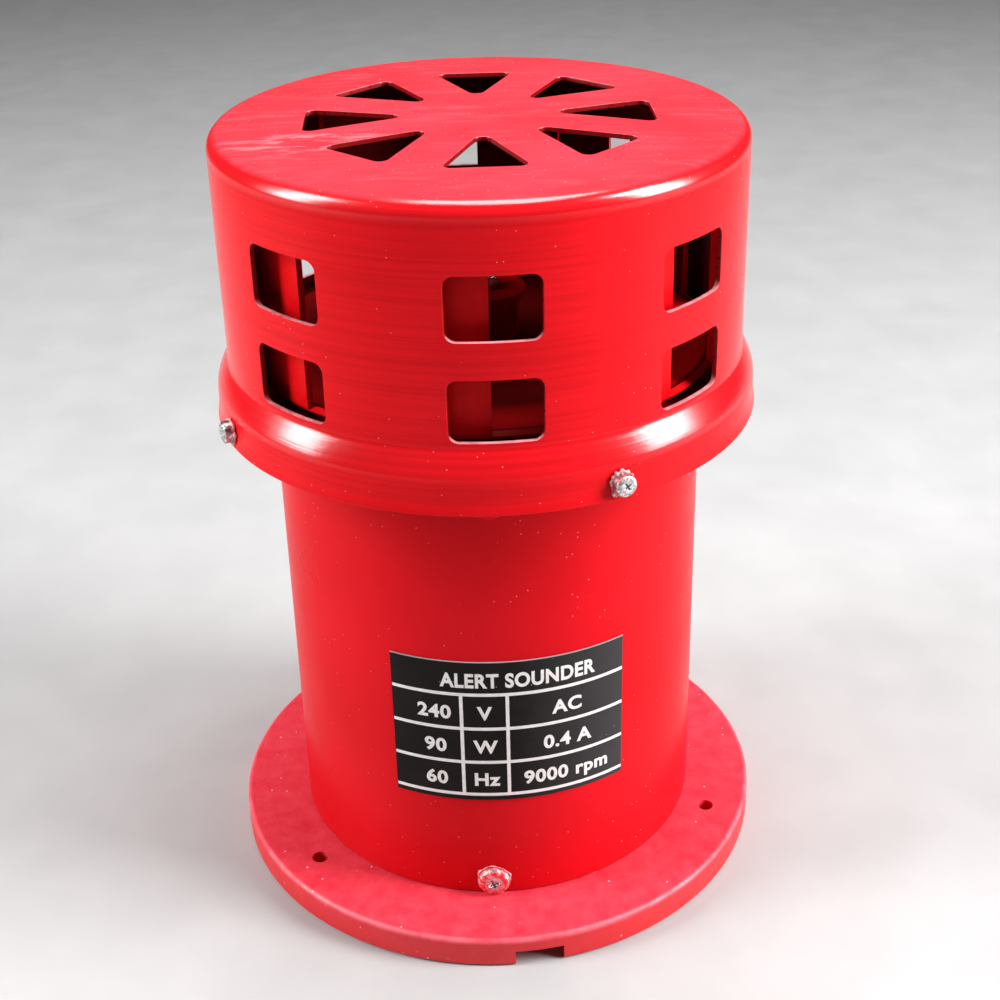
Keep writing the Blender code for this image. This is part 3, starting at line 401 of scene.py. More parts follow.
def blade_inside_material():
    """Paint inside the rotor, red near the disc's edge, and darkened almost to black inwards and on the
    blades' backs as painted shade.
    """
    g = Graph("rotor_paint_with_painted_shade")
    g.shader.inputs["Specular IOR Level"].default_value = 0.05
    grain = g.noise(300.0, 4.0)
    red = g.blend(grain, (0.55, 0.003, 0.005), (0.65, 0.004, 0.007))
    radius = g.radius_and_height()[0]
    # Painted shade: the near-black mask inwards and on the blades' inner faces.
    painted_shade_mask = g.math("MAXIMUM", g.span(radius, (DRUM_R - 13.0) * MM, (DRUM_R - 5.0) * MM, 1.0, 0.0),
                  g.span(radius, (DRUM_R - 3.0) * MM, (DRUM_R - 2.0) * MM))
    g.bump(grain, 0.15, 0.0001)
    return g.finish(g.blend(painted_shade_mask, red, (0.08, 0.0006, 0.001)), g.span(grain, 0.3, 0.7, 0.36, 0.5))


def moulding_material():
    """Matt red moulding, scuffed on top, its top painted lighter and pinker than its side as a painted
    sheen, and paler along its top edge as a painted highlight.
    """
    g = Graph("red_moulding_looks")
    mottle = g.span(g.noise(260.0, 6.0, roughness=0.7), 0.35, 0.8)
    radius, height = g.radius_and_height()
    # Painted sheen: the top face gets a lighter, pinker copy of the side's colour.
    painted_top_sheen = g.blend(mottle, (0.7, 0.022, 0.045), (0.8, 0.065, 0.1))
    side = g.blend(mottle, (0.66, 0.008, 0.014), (0.72, 0.016, 0.026))
    color = g.blend(g.span(height, (BASE_T - 1.4) * MM, (BASE_T - 0.4) * MM), side, painted_top_sheen)
    # Painted highlight along the top edge, broken up by noise.
    edge = g.math("MULTIPLY", g.span(radius, (BASE_R - 1.1) * MM, (BASE_R - 0.5) * MM),
                  g.span(height, (BASE_T - 1.3) * MM, (BASE_T - 0.4) * MM))
    wear_and_painted_highlight = g.math("MULTIPLY", edge, g.span(g.noise(220.0, 4.0), 0.38, 0.6, 0.15, 0.6))
    color = g.blend(wear_and_painted_highlight, color, (0.86, 0.16, 0.2))
    scuffs = g.span(g.noise(420.0, 5.0, roughness=0.7), 0.66, 0.72)
    color = g.blend(g.math("MULTIPLY", scuffs, 0.5), color, (0.88, 0.3, 0.32))
    specks = g.specks(560.0, 0.12, 0.13)
    color = g.blend(specks, color, DUST)
    rough = g.span(g.noise(240.0, 4.0), 0.3, 0.7, 0.4, 0.56)
    g.bump(g.noise(1400.0, 4.0), 0.16, 0.00012)
    return g.finish(color, rough)


def metal_material(name, dark, bright, roughness, streaks=(1.0, 1.0, 1.0), scale=600.0):
    """A metal with wear, whose tone, roughness and fine bump vary together."""
    g = Graph(name, metallic=1.0)
    grain = g.noise(scale, 5.0, g.stretched(streaks), 0.6)
    color = g.blend(g.span(grain, 0.3, 0.7), dark, bright)
    g.bump(grain, 0.2, 0.00006)
    return g.finish(color, g.span(grain, 0.3, 0.7, *roughness))


def plain_material(name, dark, bright, roughness, scale=500.0, specular=0.5):
    """A non-metal with a soft tone and fine grain."""
    g = Graph(name)
    g.shader.inputs["Specular IOR Level"].default_value = specular
    grain = g.noise(scale, 4.0)
    color = g.blend(g.span(grain, 0.3, 0.7), dark, bright)
    g.bump(grain, 0.15, 0.0001)
    return g.finish(color, g.span(g.noise(scale / 3.0, 2.0), 0.3, 0.7, *roughness))


def chipped_material():
    """Paint over a steel screw head, chipped off round the recess and along the rim."""
    core_r, rim_r = 1.85, 2.9
    g = Graph("chipped_screw")
    radius = g.radius_and_height()[0]
    ragged = g.noise(900.0, 5.0, roughness=0.7)
    reach = g.math("ADD", radius, g.math("MULTIPLY", g.math("SUBTRACT", ragged, 0.5), 0.0022))
    core = g.span(reach, (core_r + 0.15) * MM, core_r * MM)
    rim = g.span(reach, rim_r * MM, (rim_r + 0.12) * MM)
    patch = g.span(g.noise(520.0, 3.0), 0.5, 0.53)
    bare = g.math("MINIMUM", g.math("ADD", core, g.math("MULTIPLY", rim, patch)), 1.0)
    steel = g.blend(g.span(g.noise(1800.0, 3.0), 0.35, 0.65), (0.42, 0.42, 0.43), (0.82, 0.82, 0.83))
    paint = g.blend(g.span(g.noise(1100.0, 3.0), 0.45, 0.62), PAINT_RED, (0.86, 0.2, 0.23))
    color = g.blend(bare, paint, steel)
    g.bump(bare, 0.5, -0.00006)
    g.bump(ragged, 0.35, 0.0001)
    return g.finish(color, g.span(bare, 0.0, 1.0, 0.32, 0.36), g.math("MULTIPLY", bare, 0.9))


def hammered_material():
    """The bright, dented zinc of the small screws, with traces of paint in the low places."""
    g = Graph("dented_zinc")
    dents = g.noise(1150.0, 2.0, roughness=0.5)
    color = g.blend(g.span(dents, 0.42, 0.6), (0.36, 0.35, 0.35), (0.8, 0.8, 0.81))
    paint = g.span(g.noise(800.0, 3.0), 0.58, 0.64)
    color = g.blend(g.math("MULTIPLY", paint, 0.7), color, (0.7, 0.06, 0.07))
    g.bump(dents, 0.7, 0.00035)
    return g.finish(color, g.span(dents, 0.3, 0.7, 0.3, 0.42), g.span(paint, 0.0, 1.0, 1.0, 0.3))


def label_material():
    """Satin black film, painted paler towards its right end as a painted sheen, with a pale top edge and
    faint dust.
    """
    g = Graph("label_film")
    color = g.blend(g.span(g.noise(90.0, 3.0), 0.3, 0.7), (0.006, 0.0045, 0.004), (0.01, 0.0075, 0.007))
    split = g.add("ShaderNodeSeparateXYZ")
    g.feed(split.inputs[0], g.place)
    # Painted sheen: the film grows paler towards its right end (+X).
    painted_sheen_rightwards = g.math("ADD", split.outputs[0], g.math("MULTIPLY", g.noise(400.0, 4.0), 0.006))
    color = g.blend(g.span(painted_sheen_rightwards, 0.006, 0.034, 0.0, 0.8), color, (0.06, 0.056, 0.06))
    edge = g.span(split.outputs[2], (LABEL_HIGH.z - 0.24) * MM, (LABEL_HIGH.z - 0.16) * MM, 0.0, 0.8)
    color = g.blend(edge, color, (0.42, 0.38, 0.38))
    specks = g.specks(700.0, 0.09, 0.1)
    color = g.blend(specks, color, (0.3, 0.28, 0.27))
    g.bump(g.noise(700.0, 2.0), 0.06, 0.0001)
    g.shader.inputs["Specular IOR Level"].default_value = 0.1
    return g.finish(color, g.span(g.noise(120.0, 3.0), 0.3, 0.7, 0.48, 0.58))


def floor_material():
    """Matt pale grey, with faint clouds."""
    g = Graph("pale_floor")
    color = g.blend(g.span(g.noise(40.0, 6.0), 0.3, 0.7), (0.4, 0.4, 0.4), (0.44, 0.44, 0.44))
    g.bump(g.noise(600.0, 3.0), 0.05, 0.0002)
    return g.finish(color, g.span(g.noise(25.0, 2.0), 0.3, 0.7, 0.6, 0.7))


SPUN_PAINT = cap_material()
RED_PAINT = sprayed_material()
BLADE_INSIDE = blade_inside_material()
ROTOR_PAINT = plain_material("rotor_paint", (0.62, 0.003, 0.005), (0.74, 0.004, 0.007), (0.3, 0.42),
                             300.0, 0.05)
# Painted shade: a near-black red for the inside of the cap, so the interior reads dark through the
# windows and vents.
CAP_INSIDE = plain_material("cap_inside_painted_shade", (0.07, 0.0006, 0.001), (0.11, 0.0009, 0.0015),
                            (0.5, 0.65), 300.0, 0.1)
EDGE_PAINT = cut_edge_material()
MOULDING = moulding_material()
HAMMERED = hammered_material()
CHIPPED = chipped_material()
CHIPS = plain_material("paint_chips", (0.7, 0.03, 0.05), (0.95, 0.7, 0.7), (0.35, 0.6), 1400.0)
LABEL_FILM = label_material()
INK = plain_material("label_ink", (0.72, 0.67, 0.66), (0.84, 0.8, 0.79), (0.35, 0.5), 900.0)

SLOT_MATERIALS = {
    "red_paint": RED_PAINT,
    "red_moulding": MOULDING,
    "label": LABEL_FILM,
    "steel": metal_material("turned_steel", (0.45, 0.45, 0.46), (0.68, 0.68, 0.69), (0.2, 0.36),
                            (0.1, 0.1, 1.0)),
    "lamination": metal_material("laminated_iron", (0.14, 0.14, 0.16), (0.34, 0.34, 0.36), (0.4, 0.6),
                                 (0.02, 0.02, 1.0), 1900.0),
    "cast_aluminium": metal_material("cast_aluminium_looks", (0.42, 0.42, 0.43), (0.66, 0.66, 0.67),
                                     (0.45, 0.62)),
    "copper": metal_material("enamelled_copper", (0.42, 0.13, 0.05), (0.78, 0.33, 0.16), (0.25, 0.4),
                             (1.0, 1.0, 0.05), 1300.0),
    "brass": metal_material("drawn_brass", (0.55, 0.36, 0.13), (0.8, 0.58, 0.27), (0.25, 0.42)),
    "carbon": plain_material("carbon_looks", (0.012, 0.012, 0.013), (0.045, 0.045, 0.048), (0.45, 0.65),
                             1500.0),
    "rubber": plain_material("rubber_looks", (0.008, 0.008, 0.008), (0.02, 0.02, 0.02), (0.7, 0.85)),
    "plastic": plain_material("plastic_looks", (0.62, 0.6, 0.54), (0.74, 0.72, 0.66), (0.4, 0.55)),
}


# ---------------------------------------------------------------- shape helpers

def polar(radius, azimuth):
    """X and Y of a point at a radius and an azimuth."""
    angle = math.radians(azimuth)
    return radius * math.sin(angle), -radius * math.cos(angle)


def arc(centre, radius, start, end, steps):
    """Points of an arc, with ordinary anticlockwise angles in degrees."""
    points = []
    for i in range(steps + 1):
        angle = math.radians(start + (end - start) * i / steps)
        points.append((centre[0] + radius * math.cos(angle), centre[1] + radius * math.sin(angle)))
    return points


def lerp(first, second, share):
    """The point a share of the way from first to second."""
    return tuple(a + (b - a) * share for a, b in zip(first, second))


def row(first, second, steps):
    """Evenly spaced points from first up to, but not including, second."""
    return [lerp(first, second, i / steps) for i in range(steps)]


def ring_faces(rings, sides):
    """Faces between closed rings of points, which are numbered one ring after another."""
    faces = []
    for i in range(rings - 1):
        low, high = i * sides, (i + 1) * sides
        for j in range(sides):
            k = (j + 1) % sides
            faces.append((low + j, low + k, high + k, high + j))
    return faces


def merged(shapes):
    """The points and faces of several shapes as one."""
    points = []
    faces = []
    for new_points, new_faces in shapes:
        first = len(points)
        points.extend(new_points)
        faces.extend([[first + i for i in face] for face in new_faces])
    return points, faces


def solid(name, points, faces, place=None, recalculate=False):
    """A smooth mesh object from points in millimetres, with its doubled points joined."""
    mesh = bpy.data.meshes.new(name)
    mesh.from_pydata([(x * MM, y * MM, z * MM) for x, y, z in points], [], faces)
    shape = bmesh.new()
    shape.from_mesh(mesh)
    bmesh.ops.remove_doubles(shape, verts=shape.verts, dist=WELD)
    if recalculate:
        bmesh.ops.recalc_face_normals(shape, faces=shape.faces)
    shape.to_mesh(mesh)
    shape.free()
    for face in mesh.polygons:
        face.use_smooth = True
    piece = bpy.data.objects.new(name, mesh)
    bpy.context.scene.collection.objects.link(piece)
    if place is not None:
        piece.matrix_world = place
    return piece


def finished(name, points, faces, material, body, slot, replaces=(), place=None):
    """A piece with its material, attached to its body, with the CAD nodes it replaces hidden."""
    piece = solid(name, points, faces, place)
    piece.data.materials.append(material)
    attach(piece, body)
    if replaces:
        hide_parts(*replaces)
    return piece


def soften(piece, width, segments=2, angle=35.0):
    """Round the edges sharper than an angle, and keep the flat faces shaded flat."""
    bevel = piece.modifiers.new("edges", "BEVEL")
    bevel.width = width * MM
    bevel.segments = segments
    bevel.limit_method = "ANGLE"
    bevel.angle_limit = math.radians(angle)
    bevel.miter_outer = "MITER_ARC"
    shading = piece.modifiers.new("shading", "WEIGHTED_NORMAL")
    shading.keep_sharp = True
    shading.weight = 80


def lathe(profile, columns=COLUMNS, start_az=0.0, closed=True):
    """Points and faces of a profile turned about Z.

    The profile runs down the outer side, and a radius of 0 makes a pole.
    """
    points = []
    rings = []
    for radius, height in profile:
        if radius == 0.0:
            rings.append([len(points)] * columns)
            points.append((0.0, 0.0, height))
            continue
        rings.append(list(range(len(points), len(points) + columns)))
        for i in range(columns):
            x, y = polar(radius, start_az + i * 360.0 / columns)
            points.append((x, y, height))
    faces = []
    last = len(rings) if closed else len(rings) - 1
    for j in range(last):
        upper = rings[j]
        lower = rings[(j + 1) % len(rings)]
        for i in range(columns):
            k = (i + 1) % columns
            corners = []
            for corner in (upper[i], lower[i], lower[k], upper[k]):
                if corner not in corners:
                    corners.append(corner)
            if len(corners) > 2:
                faces.append(corners)
    return points, faces


def thicken(piece, thickness, inside_slot, rim_slot=0):
    """Give a sheet its thickness inwards, with its own material inside and on its rim."""
    sheet = piece.modifiers.new("sheet", "SOLIDIFY")
    sheet.thickness = thickness * MM
    sheet.offset = -1.0
    sheet.use_even_offset = True
    sheet.material_offset = inside_slot
    sheet.material_offset_rim = rim_slot


def settle(piece, *cutters):
    """Cut other shapes out of a piece's mesh for good, and drop the cutters."""
    for cutter in cutters:
        cut = piece.modifiers.new("cut", "BOOLEAN")
        cut.operation = "DIFFERENCE"
        cut.solver = "EXACT"
        cut.object = cutter
    bpy.context.view_layer.update()
    evaluated = piece.evaluated_get(bpy.context.evaluated_depsgraph_get())
    mesh = bpy.data.meshes.new_from_object(evaluated)
    piece.modifiers.clear()
    piece.data = mesh
    for cutter in cutters:
        bpy.data.objects.remove(cutter)


def rod_cutter(radius, low, high, place, steps=32):
    """A rod along the place's Z axis, to cut a hole with."""
    profile = [(0.0, high), (radius, high), (radius, low), (0.0, low)]
    return solid("rod_cutter", *lathe(profile, steps, closed=False), place, recalculate=True)


def upright(radius, azimuth, height=0.0):
    """A place, in metres, turned to its azimuth, whose +Z points up."""
    x, y = polar(radius, azimuth)
    turn = Matrix.Rotation(math.radians(azimuth), 4, "Z")
    return Matrix.Translation((x * MM, y * MM, height * MM)) @ turn


def outwards(radius, azimuth, height):
    """A place on a shell, in metres, whose +Z points outwards and whose +Y points up."""
    return upright(radius, azimuth, height) @ Matrix.Rotation(math.radians(90.0), 4, "X")


def turned_by(place, spin):
    """A place turned about its own Z axis."""
    return place @ Matrix.Rotation(math.radians(spin), 4, "Z")


def block_cutter(size, place, taper=1.0):
    """A block about the place's origin, with its lower face scaled by taper."""
    x, y, z = (side / 2.0 for side in size)
    signs = ((-1, -1), (1, -1), (1, 1), (-1, 1))
    points = []
    for height, share in ((-z, taper), (z, 1.0)):
        points += [(sx * x * share, sy * y * share, height) for sx, sy in signs]
    faces = [(3, 2, 1, 0), (4, 5, 6, 7), (0, 1, 5, 4), (1, 2, 6, 5), (2, 3, 7, 6), (3, 0, 4, 7)]
    return solid("block_cutter", points, faces, place, recalculate=True)


# ---------------------------------------------------------------- cap

def rounded_outline(corners, radius, arc_steps, side_steps):
    """A closed outline with tangent arcs at its corners, starting where the first corner's arc starts."""
    points = []
    count = len(corners)
    for i, corner in enumerate(corners):
        here = Vector(corner)
        back = (Vector(corners[i - 1]) - here).normalized()
        ahead = (Vector(corners[(i + 1) % count]) - here).normalized()
        half = back.angle(ahead) / 2.0
        centre = here + (back + ahead).normalized() * radius / math.sin(half)
        first = (here + back * radius / math.tan(half)) - centre
        sweep = math.pi - 2.0 * half
        turn = math.copysign(sweep, back.x * ahead.y - back.y * ahead.x) * -1.0
        for step in range(arc_steps[i] + 1):
            spoke = first.copy()
            spoke.rotate(Matrix.Rotation(turn * step / arc_steps[i], 2))
            points.append(tuple(centre + spoke))
        following = Vector(corners[(i + 1) % count])
        after = (Vector(corners[(i + 2) % count]) - following).normalized()
        next_half = (-ahead).angle(after) / 2.0
        end = following - ahead * radius / math.tan(next_half)
        points += row(points[-1], tuple(end), side_steps[i])[1:]
    return points


def cell_shape(rings):
    """Points and faces of a cell between its rings of points."""
    return [point for ring in rings for point in ring], ring_faces(len(rings), len(rings[0]))


def window_cell(azimuth, middle, low, high):
    """The part of the cap's wall round one window, as rings of points from its frame to the hole."""
    half = 180.0 / WINDOW_COUNT * math.radians(1.0) * CAP_R
    frame_corners = [(-half, low), (half, low), (half, high), (-half, high)]
    frame_line = []
    for i, steps in enumerate((CELL_COLUMNS, CELL_ROWS, CELL_COLUMNS, CELL_ROWS)):
        frame_line += row(frame_corners[i], frame_corners[(i + 1) % 4], steps)
    w, h = WINDOW_W / 2.0, WINDOW_H / 2.0
    corners = [(-w, middle - h), (w, middle - h), (w, middle + h), (-w, middle + h)]
    hole = rounded_outline(corners, WINDOW_CORNER_R, (6, 6, 6, 6), (10, 4, 10, 4))
    frame_line = frame_line[-3:] + frame_line[:-3]
    last = 5
    rings = []
    for step in range(last + 1):
        ring = [lerp(a, b, step / last) for a, b in zip(frame_line, hole)]
        rings.append([(*polar(CAP_R, azimuth + math.degrees(s / CAP_R)), z) for s, z in ring])
    return rings


def vent_cell(azimuth):
    """The part of the cap's top round one vent, made at the front and turned to its azimuth."""
    half = 180.0 / WINDOW_COUNT
    outer = CAP_R - CAP_EDGE_R
    inner_arc = [polar(CAP_CENTRE_R, -half + 2.0 * half * i / CELL_COLUMNS) for i in range(CELL_COLUMNS)]
    outer_arc = [polar(outer, half - 2.0 * half * i / CELL_COLUMNS) for i in range(CELL_COLUMNS)]
    right = row(polar(CAP_CENTRE_R, half), polar(outer, half), CELL_ROWS)
    left = row(polar(outer, -half), polar(CAP_CENTRE_R, -half), CELL_ROWS)
    frame_line = inner_arc + right + outer_arc + left
    corners = [(0.0, -VENT_APEX_R), (VENT_HALF_W, -VENT_OUTER_R), (-VENT_HALF_W, -VENT_OUTER_R)]
    hole = rounded_outline(corners, VENT_CORNER_R, (16, 6, 6), (7, 10, 7))
    turn = Matrix.Rotation(math.radians(azimuth), 2)
    last = 4
    rings = []
    for step in range(last + 1):
        ring = [turn @ Vector(lerp(a, b, step / last)) for a, b in zip(frame_line, hole)]
        rings.append([(p.x, p.y, domed(p.length)) for p in reversed(ring)])
    return rings


def domed(radius):
    """Height of the cap's slightly domed top at a radius."""
    return CAP_TOP + CAP_CROWN * (1.0 - (radius / (CAP_R - CAP_EDGE_R)) ** 2)


def bead_profile():
    """From the wall's foot over the sloping bead, round its fold and down the flared skirt."""
    top = (CAP_R, WALL_FOOT)
    join = (CAP_R + 0.35, BEAD_TOP)
    corner = (CAP_R, BEAD_TOP + 0.55)
    cove = [lerp(lerp(top, corner, t), lerp(corner, join, t), t) for t in (i / 6.0 for i in range(7))]
    slope = ((0.9, 116.85), (1.4, 115.9), (1.85, 114.95), (2.2, 114.1))
    fold = ((2.43, BEAD_FOLD), (2.55, 112.6), (2.6, 111.8), (2.6, 110.4))
    flare = ((0.45, 2.7), (0.35, 1.8), (0.18, 0.9), (0.0, 0.0))
    bead = [(CAP_R + out, z) for out, z in slope + fold]
    return cove + bead + [(SKIRT_R - short, SKIRT_Z + z) for short, z in flare]


def make_cap():
    """The spun cap: wall with windows, rolled edge, vented top, bead and skirt, as one sheet."""
    start = WINDOW_AZ - 180.0 / WINDOW_COUNT
    wall_top = CAP_TOP - CAP_EDGE_R
    between = sum(WINDOW_Z) / 2.0
    shapes = []
    for i in range(WINDOW_COUNT):
        azimuth = WINDOW_AZ + i * 360.0 / WINDOW_COUNT
        shapes.append(cell_shape(window_cell(azimuth, WINDOW_Z[0], WALL_FOOT, between)))
        shapes.append(cell_shape(window_cell(azimuth, WINDOW_Z[1], between, wall_top)))
        shapes.append(cell_shape(vent_cell(azimuth)))
    edge = arc((CAP_R - CAP_EDGE_R, wall_top), CAP_EDGE_R, 90.0, 0.0, 10)
    crown = [(radius, domed(radius)) for radius in (0.0, CAP_CENTRE_R / 2.0, CAP_CENTRE_R)]
    for profile in (crown, edge, bead_profile()):
        shapes.append(lathe(profile, COLUMNS, start, closed=False))
    cap = finished("cap_shell", *merged(shapes), SPUN_PAINT, "housing", "red_paint", ("siren_cap",))
    cap.data.materials.append(EDGE_PAINT)
    cap.data.materials.append(CAP_INSIDE)
    thicken(cap, CAP_WALL, inside_slot=2, rim_slot=1)
    soften(cap, 0.2, angle=50.0)


# ---------------------------------------------------------------- rotor

def make_drum():
    """The rotor's disc with its edge bent up into blades, as a sheet with the gaps left out."""
    bore, middle_r = 5.5, 25.0
    profile = [(bore, DRUM_LOW.z), (middle_r, DRUM_LOW.z)]
    profile += arc((DRUM_R - BEND_R, DRUM_LOW.z + BEND_R), BEND_R, -90.0, 0.0, 8)
    gap_row = len(profile) - 3     # the gaps start two steps before the bend's end
    for height in (126.0, 136.0, 147.0, DRUM_HIGH.z):
        profile.append((DRUM_R, height))
    points = []
    for radius, height in profile:
        for i in range(COLUMNS):
            points.append((*polar(radius, BLADE_AZ + i * 360.0 / COLUMNS), height))
    per_blade = COLUMNS // WINDOW_COUNT
    gap_columns = round(GAP_AZ / (360.0 / COLUMNS))
    faces = []
    for i, face in enumerate(ring_faces(len(profile), COLUMNS)):
        in_gap = i // COLUMNS >= gap_row and i % per_blade < gap_columns
        if not in_gap:
            faces.append(face)
    used = sorted({i for face in faces for i in face})
    number = {old: new for new, old in enumerate(used)}
    points = [points[i] for i in used]
    faces = [[number[i] for i in face] for face in faces]
    drum = finished("drum_shell", points, faces, ROTOR_PAINT, "rotor", "red_paint", ("rotor_drum",))
    drum.data.materials.append(BLADE_INSIDE)
    thicken(drum, DRUM_SHEET, inside_slot=1)
    soften(drum, 0.2, angle=50.0)


def make_hub_and_shaft():
    """The turned hub with its grub screw's hole, and the stepped motor shaft."""
    flange_r, neck_r, spigot_r, bore = HUB_HIGH.x, 7.0, 5.2, 3.3
    under = HUB_HIGH.z - 1.5
    seat = DRUM_LOW.z + DRUM_SHEET + 0.3
    profile = [(flange_r, HUB_HIGH.z), (flange_r, under), (neck_r, under), (neck_r, seat),
               (spigot_r, seat), (spigot_r, HUB_LOW.z), (bore, HUB_LOW.z), (bore, HUB_HIGH.z)]
    hub = finished("hub_body", *lathe(profile, 64), ROTOR_PAINT, "rotor", "red_paint", ("rotor_hub",))
    grub_low, grub_high = box_mm("hub_grub_screw")
    grub_z = (grub_low.z + grub_high.z) / 2.0
    hole_r = 1.8
    settle(hub, rod_cutter(hole_r, 2.0, neck_r + 2.0, outwards(0.0, 90.0, grub_z), HOLE_STEPS))
    soften(hub, 0.3, 3)

    end_r, shaft_r, shoulder = 3.0, SHAFT_HIGH.x, 114.5
    profile = [(0.0, SHAFT_HIGH.z), (end_r, SHAFT_HIGH.z), (end_r, shoulder), (shaft_r, shoulder),
               (shaft_r, SHAFT_LOW.z), (0.0, SHAFT_LOW.z)]
    shaft = finished("shaft_body", *lathe(profile, 48, closed=False), SLOT_MATERIALS["steel"], "rotor",
                     "steel", ("motor_shaft",))
    soften(shaft, 0.45, 3)


# ---------------------------------------------------------------- tube, base and motor plate

def make_tube():
    """The body tube, with clearance holes for its two rows of screws."""
    inside = TUBE_R - TUBE_WALL
    profile = [(TUBE_R, TUBE_HIGH.z), (TUBE_R, 60.0), (TUBE_R, TUBE_LOW.z), (inside, TUBE_LOW.z),
               (inside, TUBE_HIGH.z)]
    tube = finished("tube_shell", *lathe(profile, 160), RED_PAINT, "housing", "red_paint", ("body_tube",))
    holes = []
    for azimuths, height in ((BASE_SCREW_AZ, BASE_SCREW_Z), (PLATE_SCREW_AZ, PLATE_SCREW_Z)):
        for azimuth in azimuths:
            place = outwards(TUBE_R, azimuth, height)
            holes.append(rod_cutter(TUBE_HOLE_R, -4.0, 4.0, place, HOLE_STEPS))
    settle(tube, *holes)
    soften(tube, 0.25)


def make_base():
    """The moulded base with its holes and cable channel, and the cable's grommet."""
    inside = SPIGOT_R - SPIGOT_WALL
    profile = [(SPIGOT_R, BASE_HIGH.z), (SPIGOT_R, BASE_T)]
    profile += arc((BASE_R - BASE_EDGE, BASE_T - BASE_EDGE), BASE_EDGE, 90.0, 0.0, 6)
    profile += [(BASE_R, 0.6), (BASE_R - 0.5, 0.0), (CABLE_HOLE_R, 0.0), (CABLE_HOLE_R, BASE_T),
                (inside, BASE_T), (inside, BASE_HIGH.z)]
    base = finished("base_shell", *lathe(profile, 192), MOULDING, "housing", "red_moulding",
                    ("base_plate",))
    cutters = [block_cutter((CABLE_W, BASE_R, 2.0 * CABLE_H), upright(BASE_R / 2.0 + 4.0, CABLE_AZ))]
    for azimuth in BASE_HOLE_AZ:
        place = upright(BASE_HOLE_CIRCLE_R, azimuth)
        cutters.append(rod_cutter(BASE_HOLE_R, -1.0, BASE_T + 1.0, place))
    for azimuth in BASE_SCREW_AZ:
        place = outwards(SPIGOT_R, azimuth, BASE_SCREW_Z)
        cutters.append(rod_cutter(SPIGOT_HOLE_R, -8.0, 3.0, place, HOLE_STEPS))
    settle(base, *cutters)
    soften(base, 0.3)

    flange_r, neck_r, bore = GROMMET_HIGH.x, 6.1, 3.2
    seat = GROMMET_HIGH.z - 2.0
    profile = [(flange_r, GROMMET_HIGH.z), (flange_r, seat), (neck_r, seat), (neck_r, GROMMET_LOW.z),
               (bore, GROMMET_LOW.z), (bore, GROMMET_HIGH.z)]
    sleeve = finished("cable_sleeve", *lathe(profile, 48), SLOT_MATERIALS["rubber"], "housing", "rubber",
                      ("cable_grommet",))
    soften(sleeve, 0.4, 3)


def make_motor_plate():
    """The dished plate that closes the tube, with its collar inside the tube and its rim outside."""
    thickness = 1.6
    rim_r = PLATE_HIGH.x
    under = PLATE_HIGH.z - thickness
    rim_z = 107.4
    collar_r = TUBE_R - TUBE_WALL - 0.4
    bore = 15.0
    profile = arc((rim_r - thickness, under), thickness, 90.0, 0.0, 6)
    profile += [(rim_r, rim_z), (rim_r - thickness, rim_z), (rim_r - thickness, under), (collar_r, under),
                (collar_r, PLATE_LOW.z), (collar_r - 2.0, PLATE_LOW.z), (collar_r - 2.0, under),
                (bore, under), (bore, PLATE_HIGH.z)]
    plate = finished("dished_plate", *lathe(profile, COLUMNS), RED_PAINT, "housing", "red_paint",
                     ("motor_plate",))
    soften(plate, 0.25)


# ---------------------------------------------------------------- screws

def cross_cutters(length, width, depth, top, place):
    """Two tapered bars that sink a cross recess into a screw head whose top is at a height."""
    above = 0.4
    cutters = []
    for angle in (0.0, 90.0):
        centre = place @ Matrix.Translation((0.0, 0.0, (top - depth / 2.0 + above / 2.0) * MM))
        cutters.append(block_cutter((length, width, depth + above), turned_by(centre, angle), 0.4))
    return cutters


def shank_profile(shank_r, length):
    """A thread as plain ridges round the shank, from under the head to the point."""
    root_r = shank_r * 0.78
    pitch = 1.1
    points = []
    z = -0.2
    while z > 1.2 - length:
        points += [(root_r, z), (shank_r, z - 0.4 * pitch), (root_r, z - 0.8 * pitch)]
        z -= pitch
    return points + [(0.35 * shank_r, -length), (0.0, -length)]


def make_screw(name, node, place, material, profile, recess, edge):
    """A screw with a cross recess. Its profile starts at the middle of its head's top."""
    points, faces = lathe(profile, SCREW_COLUMNS, closed=False)
    screw = finished(name, points, faces, material, "housing", "steel", (node,), place)
    settle(screw, *cross_cutters(*recess, profile[0][1], place))
    soften(screw, edge, angle=40.0)


def make_pan_screw(name, node, place, material):
    """A pan head tapping screw."""
    head_r, head_h = TAPPING_HEAD
    dome = ((0.0, 1.0), (0.3, 0.985), (0.55, 0.91), (0.76, 0.76), (0.91, 0.52), (0.985, 0.25), (1.0, 0.1),
            (0.98, 0.0))
    profile = [(r * head_r, z * head_h) for r, z in dome] + shank_profile(*TAPPING_SHANK)
    make_screw(name, node, place, material, profile, (3.0, 0.8, 1.1), 0.09)


def make_cap_screw(name, node, place):
    """A small round-headed machine screw, whose head goes a little way into the skirt."""
    head_r, head_h = CAP_SCREW_HEAD
    head = ((0.0, 1.0), (0.5, 0.985), (0.8, 0.94), (0.94, 0.85), (1.0, 0.66))
    profile = [(r * head_r, z * head_h) for r, z in head] + [(head_r, -0.4)]
    profile += shank_profile(*CAP_SCREW_SHANK)
    make_screw(name, node, place, HAMMERED, profile, (2.4, 0.5, 0.6), 0.08)


